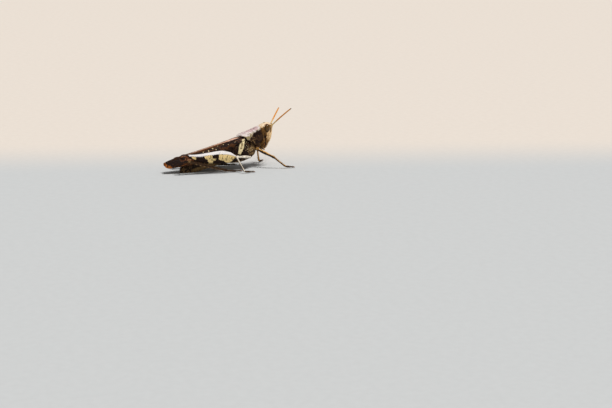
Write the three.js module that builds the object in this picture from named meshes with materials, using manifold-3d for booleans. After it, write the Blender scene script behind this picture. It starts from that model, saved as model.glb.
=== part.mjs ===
// A short-horned locust at life size, resting with its head raised and its hind legs folded.
// Millimetres, +Z up. The head points to -Y, the animal's left is +X, and its feet and the end
// of its abdomen stand on z = 0.
//
// The body is drawn in a frame of its own, which a group then pitches up: x is the side, y runs
// back from the front edge of the pronotum (the shield behind the head), and z is above the axis.
import * as THREE from "three";
import { mergeVertices } from "three/addons/utils/BufferGeometryUtils.js";
import Module from "manifold-3d";

const wasm = await Module();
wasm.setup();

// ---------------------------------------------------------------- driving dimensions
const BODY_PITCH = THREE.MathUtils.degToRad(16);
const AXIS_HEIGHT = 6.7; // of the body's axis over the floor, at the front of the pronotum
const CUT = 0.05; // the thin cut that parts each piece from its neighbours
const PLATE = 0.5; // thickness of the wings

const SHIELD_SIDE = 3.7; // length of the shield along its flanks
const SHIELD_DISC = 1.7; // how much further its angled rear edge reaches in the middle
const SHIELD_SLANT = 1.75; // how much shorter its side lobes are at the bottom
const SHIELD_SQUARE = 2.7;

const THORAX_SPLIT = 5.75; // where the middle ring of the thorax meets the last
const WING_START = 4.1;
const WING_LENGTH = 18.75;
const WING_SQUARE = 2.5; // squareness of the folded wing's section
const HIND_WING = { start: 0.26, end: 0.985, reach: Math.PI / 4 };

const ABDOMEN_START = 8.6;
const ABDOMEN_RINGS = 8;
const RING_END = 17.9;
const ABDOMEN_END = 20;
const CERCUS_LENGTH = 0.9; // the pair of feelers at the abdomen's end

const EYE = { centre: [1.1, -1.5, 2.02], radii: [0.66, 0.6, 0.92], tilt: 0.3 };
const FEELER_ROOT = [0.42, -2.6, 1.95];
const FEELER_LENGTH = 6.8;

const SPINES = 8; // in each of the two rows on a hind shin
const SPINE_LENGTH = 0.75;
const SPINE_DROP = 0.52; // how steeply, in radians, the spines lean down from the shin
const SPINE_SPREAD = 0.75; // how far, in radians, each row leans out
const CLAW_LENGTH = 0.55;

// Rows of [station, half width, top, waist, bottom], read as smooth curves by through().
const SHIELD = [
  [0, 1.5, 2.85, 1.2, -0.3],
  [0.2, 1.62, 2.8, 1.2, -0.7],
  [0.5, 1.74, 2.64, 1.2, -0.95],
  [0.8, 1.88, 2.56, 1.2, -1],
  [1, 1.95, 2.5, 1.2, -0.9],
];
const THORAX = [
  [2.15, 0.95, -0.5, -1.2, -1.9],
  [2.8, 1.5, 0.6, -1.1, -2.75],
  [3.8, 1.82, 1.6, -1, -3.2],
  [THORAX_SPLIT, 1.95, 1.65, -1, -3.45],
  [7.3, 1.9, 1.4, -0.9, -3.2],
  [ABDOMEN_START - CUT, 1.45, 1, -0.8, -2.65],
];
const ABDOMEN = [
  [ABDOMEN_START, 1.38, 0.8, -0.8, -2.62],
  [12, 1.3, 0.8, -0.8, -2.42],
  [15, 1.15, 0.7, -0.8, -2.32],
  [17, 1, 0.45, -0.85, -2.2],
  [RING_END, 0.9, 0.3, -0.95, -2.1],
];
const ABDOMEN_TIP = [
  [RING_END + CUT, 0.89, 0.28, -0.95, -2.09],
  [18.6, 0.82, 0.2, -0.95, -2],
  [19.2, 0.7, -0.02, -0.98, -1.9],
  [19.6, 0.56, -0.38, -1.04, -1.75],
  [ABDOMEN_END, 0.32, -0.8, -1.12, -1.5],
];
// Rows of [height, half width, front, middle, back] for level slices through the head.
const HEAD = [
  [-2.42, 0.5, 0.1, 0.45, 0.85],
  [-2.1, 0.92, -0.25, 0.35, 0.95],
  [-1.66, 1.22, -0.8, 0.2, 1],
  [-1.1, 1.42, -1.35, -0.1, 0.9],
  [-0.4, 1.52, -1.85, -0.5, 0.5],
  [0.4, 1.52, -2.25, -0.9, 0.3],
  [1.1, 1.42, -2.53, -1.1, 0.25],
  [1.8, 1.26, -2.8, -1.3, 0.25],
  [2.3, 1.08, -2.9, -1.3, 0.2],
  [2.65, 0.86, -2.6, -1.25, 0.15],
  [2.95, 0.58, -1.95, -1.15, -0.1],
  [3.1, 0.26, -1.5, -1.05, -0.6],
];
// Rows of [share of the length, half width, top, bottom] of one folded wing.
const WING = [
  [0, 1.56, 1.8, 1.1],
  [0.08, 1.85, 1.95, 1.1],
  [0.2, 1.94, 2, 0.45],
  [0.32, 1.92, 2.02, 0.05],
  [0.55, 1.75, 2.1, -0.28],
  [0.8, 1.38, 2.26, 0.26],
  [0.92, 1.06, 2.2, 0.58],
  [0.975, 0.84, 2.02, 0.88],
  [1, 0.62, 1.72, 1.18],
];
// Rows of [share of the length, half thickness, above the axis, below the axis] of the limbs.
const HIND_THIGH = [
  [0, 0.28, 0.35, 0.35],
  [0.04, 0.45, 0.62, 0.65],
  [0.12, 0.62, 1.12, 1.15],
  [0.28, 0.7, 1.52, 1.38],
  [0.5, 0.58, 1.2, 1.15],
  [0.68, 0.48, 0.86, 0.82],
  [0.84, 0.4, 0.78, 0.6],
  [0.92, 0.42, 0.9, 0.6],
  [0.98, 0.48, 0.96, 0.78],
  [1.03, 0.46, 0.84, 0.8],
  [1.065, 0.22, 0.4, 0.45],
];
const THIGH = [
  [0, 0.27, 0.3, 0.28],
  [0.3, 0.31, 0.38, 0.34],
  [0.8, 0.27, 0.3, 0.28],
  [0.95, 0.29, 0.33, 0.33],
  [1, 0.25, 0.28, 0.28],
];
const SHIN = [
  [0, 0.25, 0.27, 0.27],
  [0.12, 0.28, 0.3, 0.3],
  [0.35, 0.25, 0.25, 0.25],
  [1, 0.26, 0.26, 0.26],
];
const HIND_SHIN = [
  [0, 0.25, 0.3, 0.25],
  [0.06, 0.34, 0.4, 0.36],
  [0.15, 0.29, 0.33, 0.33],
  [0.85, 0.27, 0.3, 0.3],
  [0.96, 0.36, 0.36, 0.36],
  [1, 0.3, 0.3, 0.3],
];
const FOOT = [
  [0, 0.22, 0.2, 0.27],
  [0.15, 0.27, 0.25, 0.32],
  [0.4, 0.25, 0.22, 0.3],
  [0.55, 0.25, 0.22, 0.3],
  [1, 0.22, 0.22, 0.25],
];
const FEELER = [
  [0, 0.27, 0.27, 0.27],
  [0.05, 0.33, 0.33, 0.33],
  [0.12, 0.26, 0.26, 0.26],
  [0.85, 0.26, 0.26, 0.26],
  [1, 0.12, 0.12, 0.12],
];
const HIP = [
  [0, 0.5, 0.55, 0.55],
  [0.5, 0.55, 0.6, 0.6],
  [0.85, 0.42, 0.45, 0.45],
  [1, 0.3, 0.32, 0.32],
];
const LABRUM = [
  [0, 0.5, 0.16, 0.16],
  [0.3, 0.68, 0.24, 0.2],
  [0.75, 0.62, 0.24, 0.2],
  [1, 0.34, 0.16, 0.14],
];
const PALP = [
  [0, 0.25, 0.25, 0.25],
  [1, 0.22, 0.22, 0.22],
];
const PROSTERNUM = [
  [0.4, 0.6, -0.2, -0.8, -1.3],
  [1.1, 0.95, 0, -0.8, -1.8],
  [2.1, 0.95, 0, -0.9, -1.95],
];

// The legs' pose. A hip is in the body's frame; a knee, an ankle and a toe are [ahead of the
// pronotum's front, out from the middle, up from the floor].
const HIPS = { fore: [1.2, 1.95, -1.85], mid: [1.6, 4.1, -2.85], hind: [2.55, 7.3, -1.55] };
const LEGS = {
  fore_right: { knee: [2.1, 2.6, 2.6], ankle: [4.6, 2.9, 0.5], toe: [6.6, 3, 0.24] },
  fore_left: { knee: [0.2, 4.3, 3.05], ankle: [0.5, 4.3, 0.5], toe: [1.9, 5.9, 0.24] },
  mid_right: { knee: [-6.9, 3.9, 3.6], ankle: [-5.5, 5.1, 0.5], toe: [-3.1, 4.7, 0.24] },
  mid_left: { knee: [-7.2, 3.9, 3.5], ankle: [-6.3, 5.1, 0.5], toe: [-3.9, 5.5, 0.24] },
  hind_right: { knee: [-18.9, 3.4, 3.96], ankle: [-8.85, 3.2, 0.5], toe: [-5.5, 3, 0.24] },
  hind_left: { knee: [-18.9, 3.3, 1.95], ankle: [-8.55, 3.5, 0.5], toe: [-5.15, 3.4, 0.24] },
};
const KNEE_DROP = 0.42; // how far below the knee's middle a hind shin is hinged
const FEELERS = { left: [3.6, 4.9, 3], right: [3.7, 3.5, 4.5] }; // ahead, out and up
const SIDES = { left: 1, right: -1 };

// ---------------------------------------------------------------- finishes
const FINISHES = {
  back: ["#b29c8e", 0.5],
  flank: ["#483221", 0.5],
  head: ["#8a6a48", 0.5],
  eye: ["#322311", 0.25],
  feeler: ["#ce863a", 0.5],
  wing: ["#5e3f28", 0.55],
  hindwing: ["#c4b696", 0.4],
  thigh: ["#d6c8a4", 0.45],
  leg: ["#7c542a", 0.5],
  belly: ["#543a22", 0.55],
};

// ---------------------------------------------------------------- shaping
const { clamp, lerp } = THREE.MathUtils;
const vector = (x, y, z) => new THREE.Vector3(x, y, z);

// A table's rows as one smooth function of the station in their first column.
function through(rows) {
  const slope = (n, column) => {
    const [before, after] = [rows[Math.max(n - 1, 0)], rows[Math.min(n + 1, rows.length - 1)]];
    return (after[column] - before[column]) / (after[0] - before[0]);
  };
  return (at) => {
    const past = rows.findIndex((row) => row[0] > at);
    const start = past < 0 ? rows.length - 2 : Math.max(past - 1, 0);
    const [from, to] = [rows[start], rows[start + 1]];
    const step = to[0] - from[0];
    const t = clamp((at - from[0]) / step, 0, 1);
    const [t2, t3] = [t * t, t * t * t];
    return from.slice(1).map((value, k) => {
      const [rise, fall] = [slope(start, k + 1) * step, slope(start + 1, k + 1) * step];
      const ends = value * (2 * t3 - 3 * t2 + 1) + to[k + 1] * (3 * t2 - 2 * t3);
      return ends + rise * (t3 - 2 * t2 + t) + fall * (t3 - t2);
    });
  };
}

// The cosine and sine of an angle, pushed out from a circle towards a square.
function squared(angle, squareness) {
  const bend = (value) => Math.sign(value) * Math.abs(value) ** (2 / squareness);
  return [bend(Math.cos(angle)), bend(Math.sin(angle))];
}

// Evenly spaced numbers from low to high, both included.
const spaced = (low, high, count) =>
  Array.from({ length: count }, (_, i) => lerp(low, high, i / (count - 1)));

// The angles of a ring's points.
const around = (sides) => spaced(0, 2 * Math.PI, sides + 1).slice(0, sides);

// A closed skin over rings of points, with each end closed by a fan to its middle.
function skinOver(rings) {
  const sides = rings[0].length;
  const points = rings.flat();
  const faces = [];
  for (let r = 0; r + 1 < rings.length; r++)
    for (let i = 0; i < sides; i++) {
      const [a, b] = [r * sides + i, r * sides + ((i + 1) % sides)];
      faces.push(a, b, b + sides, a, b + sides, a + sides);
    }
  for (const end of [0, rings.length - 1]) {
    const middle = rings[end].reduce((sum, p) => sum.add(p), vector(0, 0, 0));
    const hub = points.push(middle.divideScalar(sides)) - 1;
    for (let i = 0; i < sides; i++) {
      const edge = [end * sides + i, end * sides + ((i + 1) % sides)];
      faces.push(hub, ...(end ? edge : edge.reverse()));
    }
  }
  return facingOut(new THREE.BufferGeometry().setFromPoints(points).setIndex(faces));
}

// The same geometry with its faces turned round if they point inwards.
function facingOut(geometry) {
  const [p, index] = [geometry.getAttribute("position"), geometry.index.array];
  const corners = [vector(), vector(), vector()];
  let volume = 0;
  for (let i = 0; i < index.length; i += 3) {
    corners.forEach((corner, k) => corner.fromBufferAttribute(p, index[i + k]));
    volume += corners[0].dot(corners[1].cross(corners[2]));
  }
  if (volume < 0) index.reverse();
  return geometry;
}

// A point of a body ring: out along x by half at most, and up or down from the waist.
function ringPoint(angle, [half, top, waist, bottom], squareness, station) {
  const [c, s] = squared(angle, squareness);
  return vector(half * c, station, waist + s * (s > 0 ? top - waist : waist - bottom));
}

// A length of the body between two stations of a table of rings.
function trunk(rows, { from = rows[0][0], to = rows.at(-1)[0], squareness = 2.3, rings, sides }) {
  const shape = through(rows);
  return skinOver(
    spaced(from, to, rings).map((station) =>
      around(sides).map((angle) => ringPoint(angle, shape(station), squareness, station)),
    ),
  );
}

// A limb along y, with a ring at each row and more between rows that stand far apart.
function limbShape(length, rows, { squareness = 2, sides = 8, step = 0.3 } = {}) {
  const shape = through(rows);
  const stations = rows.flatMap(([from], n) => {
    if (n + 1 === rows.length) return [from];
    const parts = Math.ceil((rows[n + 1][0] - from) / step - 1e-6);
    return spaced(from, rows[n + 1][0], parts + 1).slice(0, parts);
  });
  return skinOver(
    stations.map((station) => {
      const [half, above, below] = shape(station);
      const ring = [half, above, 0, -below];
      return around(sides).map((angle) => ringPoint(angle, ring, squareness, length * station));
    }),
  );
}

// The pronotum: a saddle whose rear edge runs to an angle on the back and slants down each lobe.
function shieldShape() {
  const shape = through(SHIELD);
  return skinOver(
    spaced(0, 1, 7).map((share) =>
      around(28).map((angle) => {
        const [c, s] = squared(angle, SHIELD_SQUARE);
        const rear = s > 0 ? SHIELD_DISC * (1 - Math.abs(c)) ** 0.7 : -SHIELD_SLANT * Math.abs(s);
        return ringPoint(angle, shape(share), SHIELD_SQUARE, share * (SHIELD_SIDE + rear));
      }),
    ),
  );
}

function headShape() {
  const shape = through(HEAD);
  return skinOver(
    HEAD.map(([height]) =>
      around(18).map((angle) => {
        const [half, front, middle, back] = shape(height);
        const point = ringPoint(angle, [half, back, middle, front], 2.2, 0);
        return vector(point.x, point.z, height);
      }),
    ),
  );
}

// One wing folded over the back: a curved plate from the middle, over the shoulder and down.
function wingShape(side, { start, end, reach, inset, rings, across }) {
  const shape = through(WING);
  const angles = spaced(0, reach, across);
  return skinOver(
    spaced(0, 1, rings).map((share) => {
      const at = lerp(start, end, 1 - (1 - share) ** 1.25);
      const [half, top, bottom] = shape(at);
      const edge = (angle, depth) => {
        const [c, s] = squared(angle, WING_SQUARE);
        const x = Math.max((half - depth) * s, CUT / 2);
        return vector(side * x, WING_START + WING_LENGTH * at, bottom + (top - depth - bottom) * c);
      };
      const outer = angles.map((angle) => edge(angle, inset));
      const inner = angles.map((angle) => edge(angle, inset + PLATE)).reverse();
      return [...outer, ...inner];
    }),
  );
}

// ---------------------------------------------------------------- placing
const locust = new THREE.Group();
const body = new THREE.Group();
body.rotation.x = -BODY_PITCH;
body.position.z = AXIS_HEIGHT;
locust.add(body);
locust.updateMatrixWorld(true);
const pieces = {};

function add(name, geometry, finish, parent = body) {
  const [color, roughness] = FINISHES[finish];
  const material = new THREE.MeshStandardMaterial({ color, roughness, metalness: 0 });
  pieces[name] = new THREE.Mesh(geometry, material);
  pieces[name].name = name;
  parent.add(pieces[name]);
  return pieces[name];
}

// Adds a limb between two points of its parent's frame, parted from both ends by a thin cut.
// Its own y runs from the first to the second, and its z leans to up.
function limb(name, from, to, rows, finish, { up = vector(0, 0, 1), parent = locust, ...shape } = {}) {
  const length = from.distanceTo(to) - CUT;
  const y = to.clone().sub(from).normalize();
  const x = y.clone().cross(up).normalize();
  const frame = new THREE.Group();
  const matrix = new THREE.Matrix4().makeBasis(x, y, x.clone().cross(y));
  frame.quaternion.setFromRotationMatrix(matrix);
  frame.position.copy(from).addScaledVector(y, CUT / 2);
  parent.add(frame);
  return add(name, limbShape(length, rows, shape), finish, frame);
}

// ---------------------------------------------------------------- cutting and joining
function solidOf(geometry, matrix) {
  const bare = new THREE.BufferGeometry()
    .setAttribute("position", geometry.getAttribute("position").clone())
    .setIndex(geometry.index)
    .applyMatrix4(matrix);
  const merged = mergeVertices(bare, 1e-4);
  return new wasm.Manifold(
    new wasm.Mesh({
      numProp: 3,
      vertProperties: merged.getAttribute("position").array,
      triVerts: new Uint32Array(merged.index.array),
    }),
  );
}

function geometryOf(solid) {
  const made = solid.getMesh();
  return new THREE.BufferGeometry()
    .setAttribute("position", new THREE.BufferAttribute(new Float32Array(made.vertProperties), 3))
    .setIndex(new THREE.BufferAttribute(new Uint32Array(made.triVerts), 1));
}

// A piece's solid, fatter by the thin cut all round, in the locust's frame.
function fattened(piece) {
  const bare = new THREE.BufferGeometry()
    .setAttribute("position", piece.geometry.getAttribute("position").clone())
    .setIndex(piece.geometry.index)
    .applyMatrix4(piece.matrixWorld);
  const fat = mergeVertices(bare, 1e-4);
  fat.computeVertexNormals();
  const [p, n] = [fat.getAttribute("position"), fat.getAttribute("normal")];
  for (let i = 0; i < p.count; i++) {
    const out = vector().fromBufferAttribute(n, i).multiplyScalar(CUT);
    p.setXYZ(i, p.getX(i) + out.x, p.getY(i) + out.y, p.getZ(i) + out.z);
  }
  return solidOf(fat, new THREE.Matrix4());
}

// The largest of a solid's separate bodies: a cut can leave crumbs.
function largest(solid) {
  return solid.decompose().reduce((best, part) => (part.volume() > best.volume() ? part : best));
}

function reshape(piece, change) {
  locust.updateMatrixWorld(true);
  const solid = largest(change(solidOf(piece.geometry, piece.matrixWorld)));
  piece.geometry = geometryOf(solid).applyMatrix4(piece.matrixWorld.clone().invert());
}

// Cuts a piece back so that its neighbours fit beside it with a thin cut between.
function makeRoom(name, ...neighbours) {
  reshape(pieces[name], (solid) =>
    neighbours.reduce((left, other) => left.subtract(fattened(pieces[other])), solid),
  );
}

// Cuts a piece flat where it would reach under the floor.
const FLOOR = solidOf(new THREE.BoxGeometry(100, 100, 10), new THREE.Matrix4().setPosition(0, 0, -5));
const standOnFloor = (name) => reshape(pieces[name], (solid) => solid.subtract(FLOOR));

// A shape placed in a piece's own frame, as a solid in the locust's frame.
function fixedTo(piece, geometry, at, turn) {
  const place = new THREE.Matrix4().makeRotationFromEuler(turn).setPosition(at);
  return solidOf(geometry, piece.matrixWorld.clone().multiply(place));
}

// ---------------------------------------------------------------- the trunk and head
function addTrunk() {
  add("pronotum", shieldShape(), "back");
  add("head", headShape(), "head");
  const ring = { sides: 18, rings: 5 };
  add("mesothorax", trunk(THORAX, { ...ring, to: THORAX_SPLIT - CUT }), "flank");
  add("metathorax", trunk(THORAX, { ...ring, from: THORAX_SPLIT }), "flank");
}

// The plate between the fore legs, with the blunt spur that hangs from it.
function addProsternum() {
  const plate = add("prosternum", trunk(PROSTERNUM, { rings: 4, sides: 12 }), "flank");
  const spur = new THREE.CylinderGeometry(0.34, 0.22, 1.1, 8);
  const place = vector(0, 1.2, -1.65);
  reshape(plate, (solid) => solid.add(fixedTo(plate, spur, place, new THREE.Euler(-0.25, 0, 0))));
}

function addAbdomen() {
  const edges = spaced(ABDOMEN_START, RING_END, ABDOMEN_RINGS + 1);
  edges.slice(1).forEach((to, n) => {
    const from = edges[n] + (n ? CUT : 0);
    add(`abdomen_${n + 1}`, trunk(ABDOMEN, { from, to, rings: 2, sides: 16 }), "belly");
  });
  const tip = add("abdomen_tip", trunk(ABDOMEN_TIP, { rings: 6, sides: 16 }), "belly");
  const cercus = new THREE.ConeGeometry(0.2, CERCUS_LENGTH, 5);
  locust.updateMatrixWorld(true);
  for (const side of [-1, 1]) {
    const [place, turn] = [vector(0.56 * side, 19.2, -0.32), new THREE.Euler(0.25, 0, 0.05 * side)];
    reshape(tip, (solid) => solid.add(fixedTo(tip, cercus, place, turn)));
  }
}

function addEye(word, side) {
  const [x, y, z] = EYE.centre;
  const ball = add(`eye_${word}`, new THREE.SphereGeometry(1, 14, 9), "eye");
  ball.scale.set(...EYE.radii);
  ball.position.set(side * x, y, z);
  ball.rotation.x = EYE.tilt;
}

function addFeeler(word, side) {
  const [x, y, z] = FEELER_ROOT;
  const from = body.localToWorld(vector(side * x, y, z));
  const [ahead, out, up] = FEELERS[word];
  const reach = vector(side * out, -ahead, up).setLength(FEELER_LENGTH);
  limb(`antenna_${word}`, from, from.clone().add(reach), FEELER, "feeler");
}

function addPalps(word, side) {
  const places = {
    maxillary: [vector(0.95 * side, 0.6, -1.7), vector(0.88 * side, 0.45, -2.5)],
    labial: [vector(0.4 * side, 0.85, -2.1), vector(0.42 * side, 0.95, -2.68)],
  };
  for (const [kind, [from, to]] of Object.entries(places))
    limb(`${kind}_palp_${word}`, from, to, PALP, "head", { parent: body, sides: 6, step: 1 });
}

function addLabrum() {
  const [from, to] = [vector(0, -0.98, -1.35), vector(0, 0.18, -2.4)];
  const plate = { parent: body, up: vector(0, -1, 0), squareness: 2.6, sides: 10 };
  limb("labrum", from, to, LABRUM, "head", plate);
}

function addWings(word, side) {
  const whole = { start: 0, end: 1, reach: Math.PI / 2, inset: 0, rings: 12, across: 6 };
  add(`wing_${word}`, wingShape(side, whole), "wing");
  const folded = { ...HIND_WING, inset: PLATE + CUT, rings: 8, across: 4 };
  add(`hindwing_${word}`, wingShape(side, folded), "hindwing");
}

// ---------------------------------------------------------------- the legs
// A point given as [ahead, out, up] for one side, in the locust's frame.
const placed = ([ahead, out, up], side) => vector(side * out, -ahead, up);

function addSpines(shin, length) {
  const cone = new THREE.ConeGeometry(0.13, SPINE_LENGTH, 4).translate(0, SPINE_LENGTH / 2, 0);
  reshape(shin, (solid) => {
    for (const share of spaced(0.3, 0.93, SPINES))
      for (const row of [-1, 1]) {
        const turn = new THREE.Euler(-SPINE_DROP, 0, -SPINE_SPREAD * row, "ZXY");
        solid = solid.add(fixedTo(shin, cone, vector(0.12 * row, share * length, -0.12), turn));
      }
    return solid;
  });
}

function addClaws(foot, length) {
  const claw = new THREE.ConeGeometry(0.12, CLAW_LENGTH, 4).translate(0, CLAW_LENGTH / 2, 0);
  reshape(foot, (solid) => {
    for (const row of [-1, 1]) {
      const turn = new THREE.Euler(-0.25, 0, -0.5 * row);
      solid = solid.add(fixedTo(foot, claw, vector(0.1 * row, length - 0.3, -0.02), turn));
    }
    return solid;
  });
}

function addLeg(pair, word, side) {
  const name = `${pair}_${word}`;
  const hind = pair === "hind";
  const [x, y, z] = HIPS[pair];
  const root = body.localToWorld(vector(side * x * 0.55, y - 0.1, hind ? z : z + 0.75));
  const hip = body.localToWorld(vector(side * x, y, z));
  const [knee, ankle, toe] = Object.values(LEGS[name]).map((point) => placed(point, side));
  const hinge = knee.clone().setZ(knee.z - (hind ? KNEE_DROP : 0));
  const blade = { sides: 12, squareness: 1.75, step: 0.12 };
  limb(`coxa_${name}`, root, hip, HIP, "leg", { up: vector(0, 1, 0) });
  limb(`femur_${name}`, hip, knee, hind ? HIND_THIGH : THIGH, hind ? "thigh" : "leg", hind ? blade : {});
  const shin = limb(`tibia_${name}`, hinge, ankle, hind ? HIND_SHIN : SHIN, "leg", { step: 0.7 });
  const foot = limb(`tarsus_${name}`, ankle, toe, FOOT, "leg", { step: 0.5 });
  locust.updateMatrixWorld(true);
  if (hind) addSpines(shin, hinge.distanceTo(ankle));
  addClaws(foot, ankle.distanceTo(toe));
  makeRoom(`femur_${name}`, `coxa_${name}`);
  makeRoom(`tibia_${name}`, `femur_${name}`);
  makeRoom(`tarsus_${name}`, `tibia_${name}`);
  standOnFloor(`tarsus_${name}`);
}

// ---------------------------------------------------------------- building
addTrunk();
addProsternum();
addAbdomen();
addLabrum();
for (const [word, side] of Object.entries(SIDES)) {
  addEye(word, side);
  addFeeler(word, side);
  addPalps(word, side);
  addWings(word, side);
  for (const pair of Object.keys(HIPS)) addLeg(pair, word, side);
}

makeRoom("head", "pronotum", "eye_left", "eye_right", "labrum");
makeRoom("prosternum", "pronotum", "head");
for (const word of Object.keys(SIDES)) {
  makeRoom(`wing_${word}`, "pronotum");
  makeRoom(`antenna_${word}`, "head", `eye_${word}`);
  makeRoom(`maxillary_palp_${word}`, "head", "labrum");
  makeRoom(`labial_palp_${word}`, "head", "labrum");
}
makeRoom("mesothorax", "pronotum", "prosternum", "wing_left", "wing_right");
makeRoom("metathorax", "wing_left", "wing_right");
for (const word of Object.keys(SIDES)) {
  makeRoom(`coxa_fore_${word}`, "prosternum", "pronotum", "mesothorax");
  makeRoom(`coxa_mid_${word}`, "mesothorax", "metathorax");
  makeRoom(`coxa_hind_${word}`, "metathorax");
}
for (const name of ["abdomen_7", "abdomen_8", "abdomen_tip"]) standOnFloor(name);

// The origin is on the floor, under the middle of the whole animal.
const middle = new THREE.Box3().setFromObject(locust).getCenter(vector());
locust.position.set(-middle.x, -middle.y, 0);

export default locust;
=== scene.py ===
"""Dresses the life-size locust: its shell plates, wings, limbs, hairs, finishes and the studio."""
import math
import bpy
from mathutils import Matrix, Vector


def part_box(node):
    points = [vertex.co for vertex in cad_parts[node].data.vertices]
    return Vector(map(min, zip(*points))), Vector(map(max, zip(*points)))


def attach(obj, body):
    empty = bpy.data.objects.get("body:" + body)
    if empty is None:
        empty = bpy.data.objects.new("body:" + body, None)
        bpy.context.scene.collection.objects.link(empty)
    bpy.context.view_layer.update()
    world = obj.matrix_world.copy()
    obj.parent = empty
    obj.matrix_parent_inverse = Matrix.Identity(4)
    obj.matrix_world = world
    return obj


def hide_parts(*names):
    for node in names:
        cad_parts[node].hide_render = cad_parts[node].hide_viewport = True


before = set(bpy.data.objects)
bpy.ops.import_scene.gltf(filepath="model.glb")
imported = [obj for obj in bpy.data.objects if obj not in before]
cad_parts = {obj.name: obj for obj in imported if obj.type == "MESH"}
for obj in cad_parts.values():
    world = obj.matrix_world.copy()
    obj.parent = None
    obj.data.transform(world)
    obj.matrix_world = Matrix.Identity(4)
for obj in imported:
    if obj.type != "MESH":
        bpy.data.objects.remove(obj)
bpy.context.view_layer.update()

from types import SimpleNamespace

import bpy
import numpy as np
from bpy.props import FloatProperty, FloatVectorProperty, IntProperty, PointerProperty
from mathutils import Matrix, Vector

bl_info = {
    "name": "Life-size locust",
    "version": (1, 0, 0),
    "blender": (4, 5, 0),
    "location": "View3D > Sidebar > Locust",
    "description": "Builds the shell plates, wings, limbs and finishes of a life-size locust",
    "category": "Object",
}

# ---------------------------------------------------------------- driving sizes, in millimetres
# The body has a frame of its own, pitched up at the head: x is the side, the second number runs
# back from the front edge of the pronotum, and the third is above the body's axis.
MM = 0.001
BODY_PITCH = math.radians(16)
AXIS_HEIGHT = 6.7

SHIELD_SIDE = 3.7
SHIELD_DISC = 1.7
SHIELD_SLANT = 1.75
SHIELD_SQUARE = 2.7
SHIELD_LIP = 0.13
SHIELD_EDGE = np.array([[0.16, 1], [0.02, 1], [0.0, 0.9], [0.0, 0.45]])  # rolled in under its rim
# The cross grooves of the pronotum: from its front edge, depth, and how far down they reach.
SULCI = ((1.2, 0.05, 2.7), (1.85, 0.07, 2.9), (2.85, 0.09, 3.2))
PIT_WIDTH = 0.27  # share of its cell that a pit of the shell is wide

WING_START = 4.1
WING_LENGTH = 18.75
WING_SQUARE = 2.5
WING_ROUND = 0.05  # share of the wing's length that its round tip takes
PLEATS = 7
# How the fore wings cross on the back: the angle of each one's inner edge, between which shares
# across it is shifted, and how far it rises over the other wing or dips under it.
WING_LAPS = {"left": (-0.09, 0.02, 0.16, 0.06), "right": (-0.02, 0.0, 0.1, -0.07)}

ABDOMEN_START = 8.6
ABDOMEN_RINGS = 8
RING_END = 17.9
END_SEAMS = ((17.98, 0.1), (18.7, 0.06))  # place and depth

EYE_CENTRE = np.array([1.1, -1.5, 2.02])
EYE_RADII = np.array([0.66, 0.6, 0.92])
EYE_TILT = 0.3
FEELER_ROOT = (0.42, -2.6, 1.95)
FEELER_LENGTH = 6.8
KNEE_DROP = 0.42
HIP_RISE = 0.75  # of the roots of the fore and middle hips
SHIN_BOW = 0.05
# Spines of a shin: length, thickness, drop, spread, first and last share, depth of their roots.
HIND_SPINES = (0.75, 0.07, 0.52, 0.75, 0.3, 0.93, 0.1)
SMALL_SPINES = (0.3, 0.035, 0.95, 0.5, 0.35, 0.9, 0.07)
SPINE_STAGGER = 0.02
SPURS = ((0.75, -0.25), (0.5, -0.55))  # how each leans out, and down on a hind shin
HAIR_RADIUS = 0.011
PATCH_RADIUS = 0.0015  # of each hair's place on the map, as a share of the map
HAIR_ROOT = 0.93  # share of the way out to the skin at which a hair starts

# Rows of [station, half width, top, waist, bottom], read as smooth curves by through().
SHIELD = [
    [0, 1.5, 2.85, 1.2, -0.3], [0.2, 1.62, 2.8, 1.2, -0.7], [0.5, 1.74, 2.64, 1.2, -0.95],
    [0.8, 1.88, 2.56, 1.2, -1], [1, 1.95, 2.5, 1.2, -0.9],
]
THORAX = [
    [2.15, 0.95, -0.5, -1.2, -1.9], [2.8, 1.5, 0.6, -1.1, -2.75], [3.8, 1.82, 1.6, -1, -3.2],
    [5.75, 1.95, 1.65, -1, -3.45], [7.3, 1.9, 1.4, -0.9, -3.2], [8.6, 1.45, 1, -0.8, -2.65],
]
THORAX_SQUARE = 2.7
PROSTERNUM = [
    [0.4, 0.5, -0.2, -0.8, -1.25], [1.1, 0.95, 0, -0.8, -1.8], [2.1, 0.95, 0, -0.9, -1.95],
]
ABDOMEN = [
    [8.5, 1.36, 0.8, -0.8, -2.6], [12, 1.3, 0.8, -0.8, -2.42], [15, 1.15, 0.7, -0.8, -2.32],
    [17, 1, 0.45, -0.85, -2.2], [17.9, 0.9, 0.3, -0.95, -2.1], [18.6, 0.82, 0.2, -0.95, -2],
    [19.2, 0.68, -0.05, -0.98, -1.9], [19.6, 0.54, -0.4, -1.04, -1.75],
    [19.88, 0.32, -0.75, -1.1, -1.55], [20, 0.1, -0.98, -1.14, -1.35],
]
# Rows of [height, half width, front, middle, back] for level slices through the head.
HEAD = [
    [-2.42, 0.5, 0.1, 0.45, 0.85], [-2.1, 0.92, -0.25, 0.35, 0.95], [-1.66, 1.22, -0.8, 0.2, 1],
    [-1.1, 1.42, -1.35, -0.1, 0.9], [-0.4, 1.52, -1.85, -0.5, 0.5], [0.4, 1.52, -2.25, -0.9, 0.3],
    [1.1, 1.42, -2.53, -1.1, 0.25], [1.8, 1.26, -2.8, -1.3, 0.25], [2.3, 1.08, -2.9, -1.3, 0.2],
    [2.65, 0.86, -2.6, -1.25, 0.15], [2.95, 0.58, -1.95, -1.15, -0.1],
    [3.1, 0.26, -1.5, -1.05, -0.6],
]
HEAD_SQUARE = 2.2
# The upper border of the pronotum's dark side, as [back, up].
SHIELD_BORDER = [[0, 2.4], [0.6, 2.25], [1.9, 2.05], [2.3, 1.9], [2.6, 1.6], [3, 1.35], [3.9, 1]]
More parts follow.
